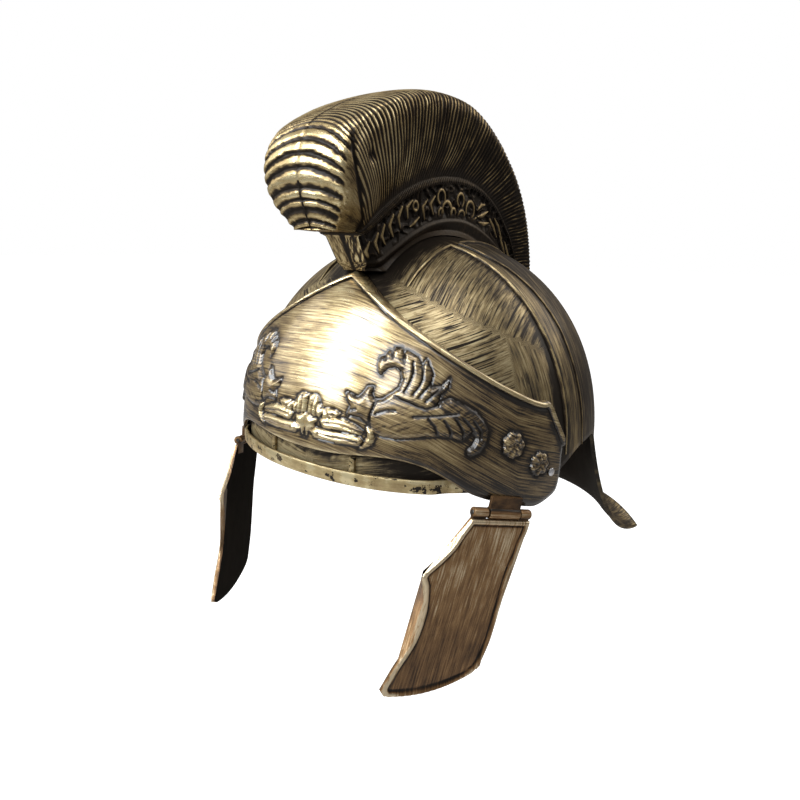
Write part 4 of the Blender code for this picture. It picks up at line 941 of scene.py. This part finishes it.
def crest_look(side, tt, pp, grid, inward):
    """How far the bars, strands, cord and scrolls stand off the grid, and their tone."""
    hair = ease(pp, HAIR_FROM, HAIR_FROM + 0.5)
    across = np.where(pp < BARS_FROM, 1.0, grid[..., 0] / np.max(grid[..., 0], axis=0))
    droop = (0.014 + 0.020 * ease(tt, 0.05, 0.14)) * across ** 2 * (1 - ease(tt, 0.17, 0.30))
    phase = np.interp(tt + droop, *BAR_PLACES.T)
    torn = 0.4 * noise(tt * 60, across * 9, 45) + 0.4 * noise(tt * 150, across * 26, 46)
    torn += 0.3 * noise(tt * 300, across * 60, 49)
    face = (1 - ease(tt, 0.185, 0.215)) * hair
    bars = face * ease(pp, BARS_FROM - 0.25, BARS_FROM + 0.25)
    margin = face * (1 - ease(pp, BARS_FROM - 0.25, BARS_FROM + 0.25))
    from_groove = np.maximum(np.abs((phase % 1.0) - 0.5) + 0.13 * torn, 0)
    bold = 1 - bell(from_groove, 0, np.interp(phase, (0, 3, 5, 8, 10), (0.24, 0.25, 0.20, 0.17, 0.22)))
    wander = 0.34 * noise(tt * 30, pp * 0.7, 41) + 0.20 * noise(tt * 110, pp * 1.5, 42)
    fine = 0.5 + 0.5 * np.cos(2 * math.pi * (phase + wander * ease(tt, 0.20, 0.30)))
    strand = np.round(phase)
    dash = 0.6 + 0.32 * noise(strand * 0.731, pp * 1.6, 43) + 0.18 * noise(strand * 0.377, pp * 5.0, 44)
    fold = np.interp(tt, *FOLD_GROOVE.T)
    shaded_crease = bell(pp, fold, 0.22) * (1 - ease(tt, 0.17, 0.19)) * hair
    shaded_hollow = bell(tt, 0.196, 0.012) * bell(pp, 7.65, 0.16)
    cord_band, edge_bead = bell(pp, CORD_AT, 0.55), bell(pp, 2.55, 0.30)
    cord = 0.5 + 0.5 * np.cos(2 * math.pi * 150 * tt + 2.2 * pp)
    panel = ease(pp, PANEL_FROM, PANEL_FROM + 0.25) * (1 - ease(pp, PANEL_TO - 0.25, PANEL_TO))
    form, area = np.zeros(pp.shape), panel > 0
    form[area] = holder_scrolls(grid[area, 1] / CM, grid[area, 2] / CM)

    depth = (0.00100 * bars + 0.00050 * (1 - bars) * (1 - margin)) * hair
    move = depth * (bars * bold + (1 - bars) * fine - 0.55) + 0.0006 * cord_band * (0.4 + 0.6 * cord)
    move += (0.0015 * form - 0.0006) * ease(tt, 0.0, 0.025) * panel
    move += 0.0004 * edge_bead - 0.0007 * shaded_crease - 0.0014 * shaded_hollow

    gloss = np.clip(noise(tt * 26, pp * 1.1, 47), -1, 1)
    # Painted sheen on the strands: lighter over the crown and towards the front; darker towards the rear.
    crown_sheen = ease(pp, 8.2, 9.6)
    strands_and_sheen = (-0.10 + 0.86 * fine ** 1.6 * np.clip(0.35 + 0.75 * dash, 0, 1.2) + 0.16 * crown_sheen * fine
               + 0.22 * ease(tt, 0.42, 0.25) * fine - 0.14 * ease(tt, 0.45, 0.65))
    tone = 0.14 + hair * (1 - face) * strands_and_sheen + bars * (1.02 * bold - 0.22 + 0.10 * gloss)
    bare = 0.62 + 0.20 * gloss - 0.30 * np.clip(torn, 0, 1)
    tone += margin * ease(pp, fold - 0.05, fold + 0.30) * bare
    tone += margin * (1 - ease(pp, fold - 0.3, fold)) * (strands_and_sheen + 0.14)
    # Painted shade in the crease beside the bars and in the hollow where the bars end.
    tone -= 0.85 * shaded_crease + 0.9 * shaded_hollow
    tone -= 0.9 * bell(pp, SEAM_AT, 0.10) * (tt < 0.085) + 0.6 * bell(pp, SEAM_AT, 0.07) * ease(tt, 0.18, 0.20)
    tone += (form ** 2.6 - 0.34) * panel + cord_band * (0.48 * cord - 0.12) + 0.14 * edge_bead
    tone += 0.10 * (pp < FOOT_END)

    # The flat front of the foot is painted, with a dark line at its middle and below the hair.
    cap = (inward > 0) & (tt < 0.5)
    hatch = 0.55 * noise(pp * 5.0 + inward * 12, inward * 8 - pp * 3, 48)
    paint = 0.66 + hatch * 0.4 if side < 0 else 0.56 + hatch
    paint = paint - 0.9 * bell(inward, 1, 0.10) - 0.7 * bell(pp, 4.95, 0.25)
    tone = np.select([cap & (pp < 5.0), cap & (pp < 6.4)], [paint, 0.10], tone)
    return move, tone, np.stack([pp * 0.004, tt * 0.30 + inward * 0.01, 0 * tt], -1)


def crest_faces(rows, columns):
    """The grid's faces, the flat side at the seam, the inside of the foot, and the two ends."""
    faces = quads(rows, columns)
    top, keel, middle = (rows - 1) * columns, rows * columns, (rows + 1) * columns
    first, last = FRONT_CAP + 1, columns - REAR_CAP - 2
    for j in range(first, last):
        faces.append([middle + j, middle + j + 1, keel + j + 1, keel + j])
        faces.append([top + j, top + j + 1, middle + j + 1, middle + j])
        faces.append([j + 1, j, keel + j, keel + j + 1])
    for end, near, step in ((0, first, 1), (columns - 1, last, -1)):
        loop = [i * columns + end for i in range(rows)]
        loop += [top + j for j in range(end + step, near + step, step)] + [middle + near, keel + near]
        under = [keel + near] + list(range(near, end - step, -step))
        faces += [loop, under[::-1]] if step > 0 else [loop[::-1], under]
    return faces


def make_crest(side, word):
    tt, pp, grid, normal, seam_cord = crest_grid()
    rows, columns = tt.shape
    inward = np.zeros(columns)
    inward[:FRONT_CAP] = np.linspace(1, 1 / FRONT_CAP, FRONT_CAP)
    inward[-REAR_CAP:] = np.linspace(1 / REAR_CAP, 1, REAR_CAP)
    move, tone, chart = crest_look(side, tt, pp, grid, inward)
    shown = grid + normal * move[..., None]
    shown[-1] = grid[-1]
    taper = 0.42 * np.clip(1 - pp / 5.0, 0, 1) * (1 - ease(tt, 0.01, 0.085))
    shown[..., 0] = SEAM + (np.maximum(shown[..., 0], SEAM) - SEAM) * (1 - taper) * (1 - inward)
    seam_foot = shown[0].copy()
    seam_foot[:, 0] = seam_cord[:, 0] = SEAM
    points = np.concatenate([shown.reshape(-1, 3), seam_foot, seam_cord])
    faces = crest_faces(rows, columns)
    if side < 0:
        points, faces = points * (-1, 1, 1), [list(face)[::-1] for face in faces]
    made = build(f"crest_{word}_moulding", points, faces, HAIR, np.append(tone, np.full(2 * columns, 0.1)),
                 np.concatenate([chart.reshape(-1, 3), np.zeros((2 * columns, 3))]), smooth=60)
    joined = bmesh.new()
    joined.from_mesh(made.data)
    bmesh.ops.remove_doubles(joined, verts=joined.verts, dist=2e-6)
    joined.to_mesh(made.data)
    joined.free()
    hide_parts(f"crest_{word}")


# Stage, lights and camera.
COOL, WARM = (0.90, 0.95, 1.0), (1.0, 0.98, 0.95)
PHOTO_PIXELS, SENSOR = 800, 36.0


def toward(azimuth, elevation):
    """Direction from the object to a light or the camera; angles in degrees, 0 is the front."""
    a, e = math.radians(azimuth), math.radians(elevation)
    return Vector((math.sin(a) * math.cos(e), -math.cos(a) * math.cos(e), math.sin(e)))


def make_stage():
    """Pale floor and surround that the camera sees as plain white, with soft light from above."""
    white = bpy.data.materials.new("floor_white")
    white.use_nodes = True
    tree = white.node_tree
    shader = tree.nodes["Principled BSDF"]
    for socket, value in (("Base Color", (0.42, 0.41, 0.40, 1)), ("Roughness", 0.9),
                          ("Emission Color", (1, 1, 1, 1))):
        shader.inputs[socket].default_value = value
    seen = tree.nodes.new("ShaderNodeLightPath").outputs["Is Camera Ray"]
    tree.links.new(seen, shader.inputs["Emission Strength"])
    mesh = bpy.data.meshes.new("floor")
    size, drop = 12.0, -0.30
    mesh.from_pydata([(x, y, drop) for x, y in ((-size, -size), (size, -size), (size, size), (-size, size))],
                     [], [(0, 1, 2, 3)])
    mesh.materials.append(white)
    floor = bpy.data.objects.new("floor", mesh)
    bpy.context.scene.collection.objects.link(floor)
    world = bpy.data.worlds.new("studio")
    world.use_nodes = True
    tree = world.node_tree
    background = tree.nodes["Background"]
    direction = tree.nodes.new("ShaderNodeTexCoord").outputs["Generated"]
    axes = tree.nodes.new("ShaderNodeSeparateXYZ")
    tree.links.new(direction, axes.inputs[0])
    sky = ramp(tree, calc(tree, "MULTIPLY_ADD", axes.outputs["Z"], 0.5, 0.5),
               ((0.0, (0.09, 0.075, 0.06)), (0.5, (0.15, 0.14, 0.13)), (0.75, (0.27, 0.27, 0.28)),
                (1.0, (0.46, 0.47, 0.49))))
    seen = tree.nodes.new("ShaderNodeLightPath").outputs["Is Camera Ray"]
    mix = tree.nodes.new("ShaderNodeMix")
    mix.data_type = "RGBA"
    tree.links.new(seen, mix.inputs["Factor"])
    tree.links.new(sky, mix.inputs["A"])
    mix.inputs["B"].default_value = (1, 1, 1, 1)
    tree.links.new(mix.outputs["Result"], background.inputs["Color"])
    bpy.context.scene.world = world
    bpy.context.scene.view_settings.view_transform = "Standard"
    centre = Vector((0, 0, 0.05))
    for name, azimuth, elevation, distance, wide, tall, power, colour in (
            ("key", -31, 34, 1.0, 0.38, 0.95, 15.5, COOL), ("front", 6, 30, 1.1, 0.5, 0.5, 6.5, COOL),
            ("fill_left", -62, 22, 1.1, 0.5, 0.7, 2.0, WARM), ("top", 60, 70, 1.0, 0.6, 0.6, 4.4, WARM),
            ("rear", 150, 30, 1.2, 0.7, 0.7, 3.2, WARM)):
        light = bpy.data.lights.new(name, "AREA")
        light.shape = "RECTANGLE"
        light.size, light.size_y = wide, tall
        light.energy = power
        light.color = colour
        made = bpy.data.objects.new(name, light)
        back = toward(azimuth, elevation)
        made.location = centre + back * distance
        made.rotation_euler = (-back).to_track_quat("-Z", "Y").to_euler()
        bpy.context.scene.collection.objects.link(made)


def make_camera():
    azimuth, elevation, roll = 35.431, 14.451, math.radians(1.447)
    target, distance, pixels = Vector((-3.126, 2.153, 0.872)) * CM, 0.40, 612.661
    back = toward(azimuth, elevation)
    right = toward(azimuth + 90, 0)
    basis = Matrix((right, back.cross(right), back)).transposed() @ Matrix.Rotation(roll, 3, "Z")
    data = bpy.data.cameras.new("camera")
    data.sensor_width = SENSOR
    data.lens = pixels / PHOTO_PIXELS * SENSOR
    data.clip_start = 0.01
    camera = bpy.data.objects.new("camera", data)
    camera.matrix_world = Matrix.Translation(target + back * distance) @ basis.to_4x4()
    bpy.context.scene.collection.objects.link(camera)
    bpy.context.scene.camera = camera


make_camera()
make_stage()
make_dome()
make_ribs()
make_band()
make_brow()
make_hinges()
make_rivets()
for crest_side, crest_word in SIDES:
    make_crest(crest_side, crest_word)

bpy.context.view_layer.update()
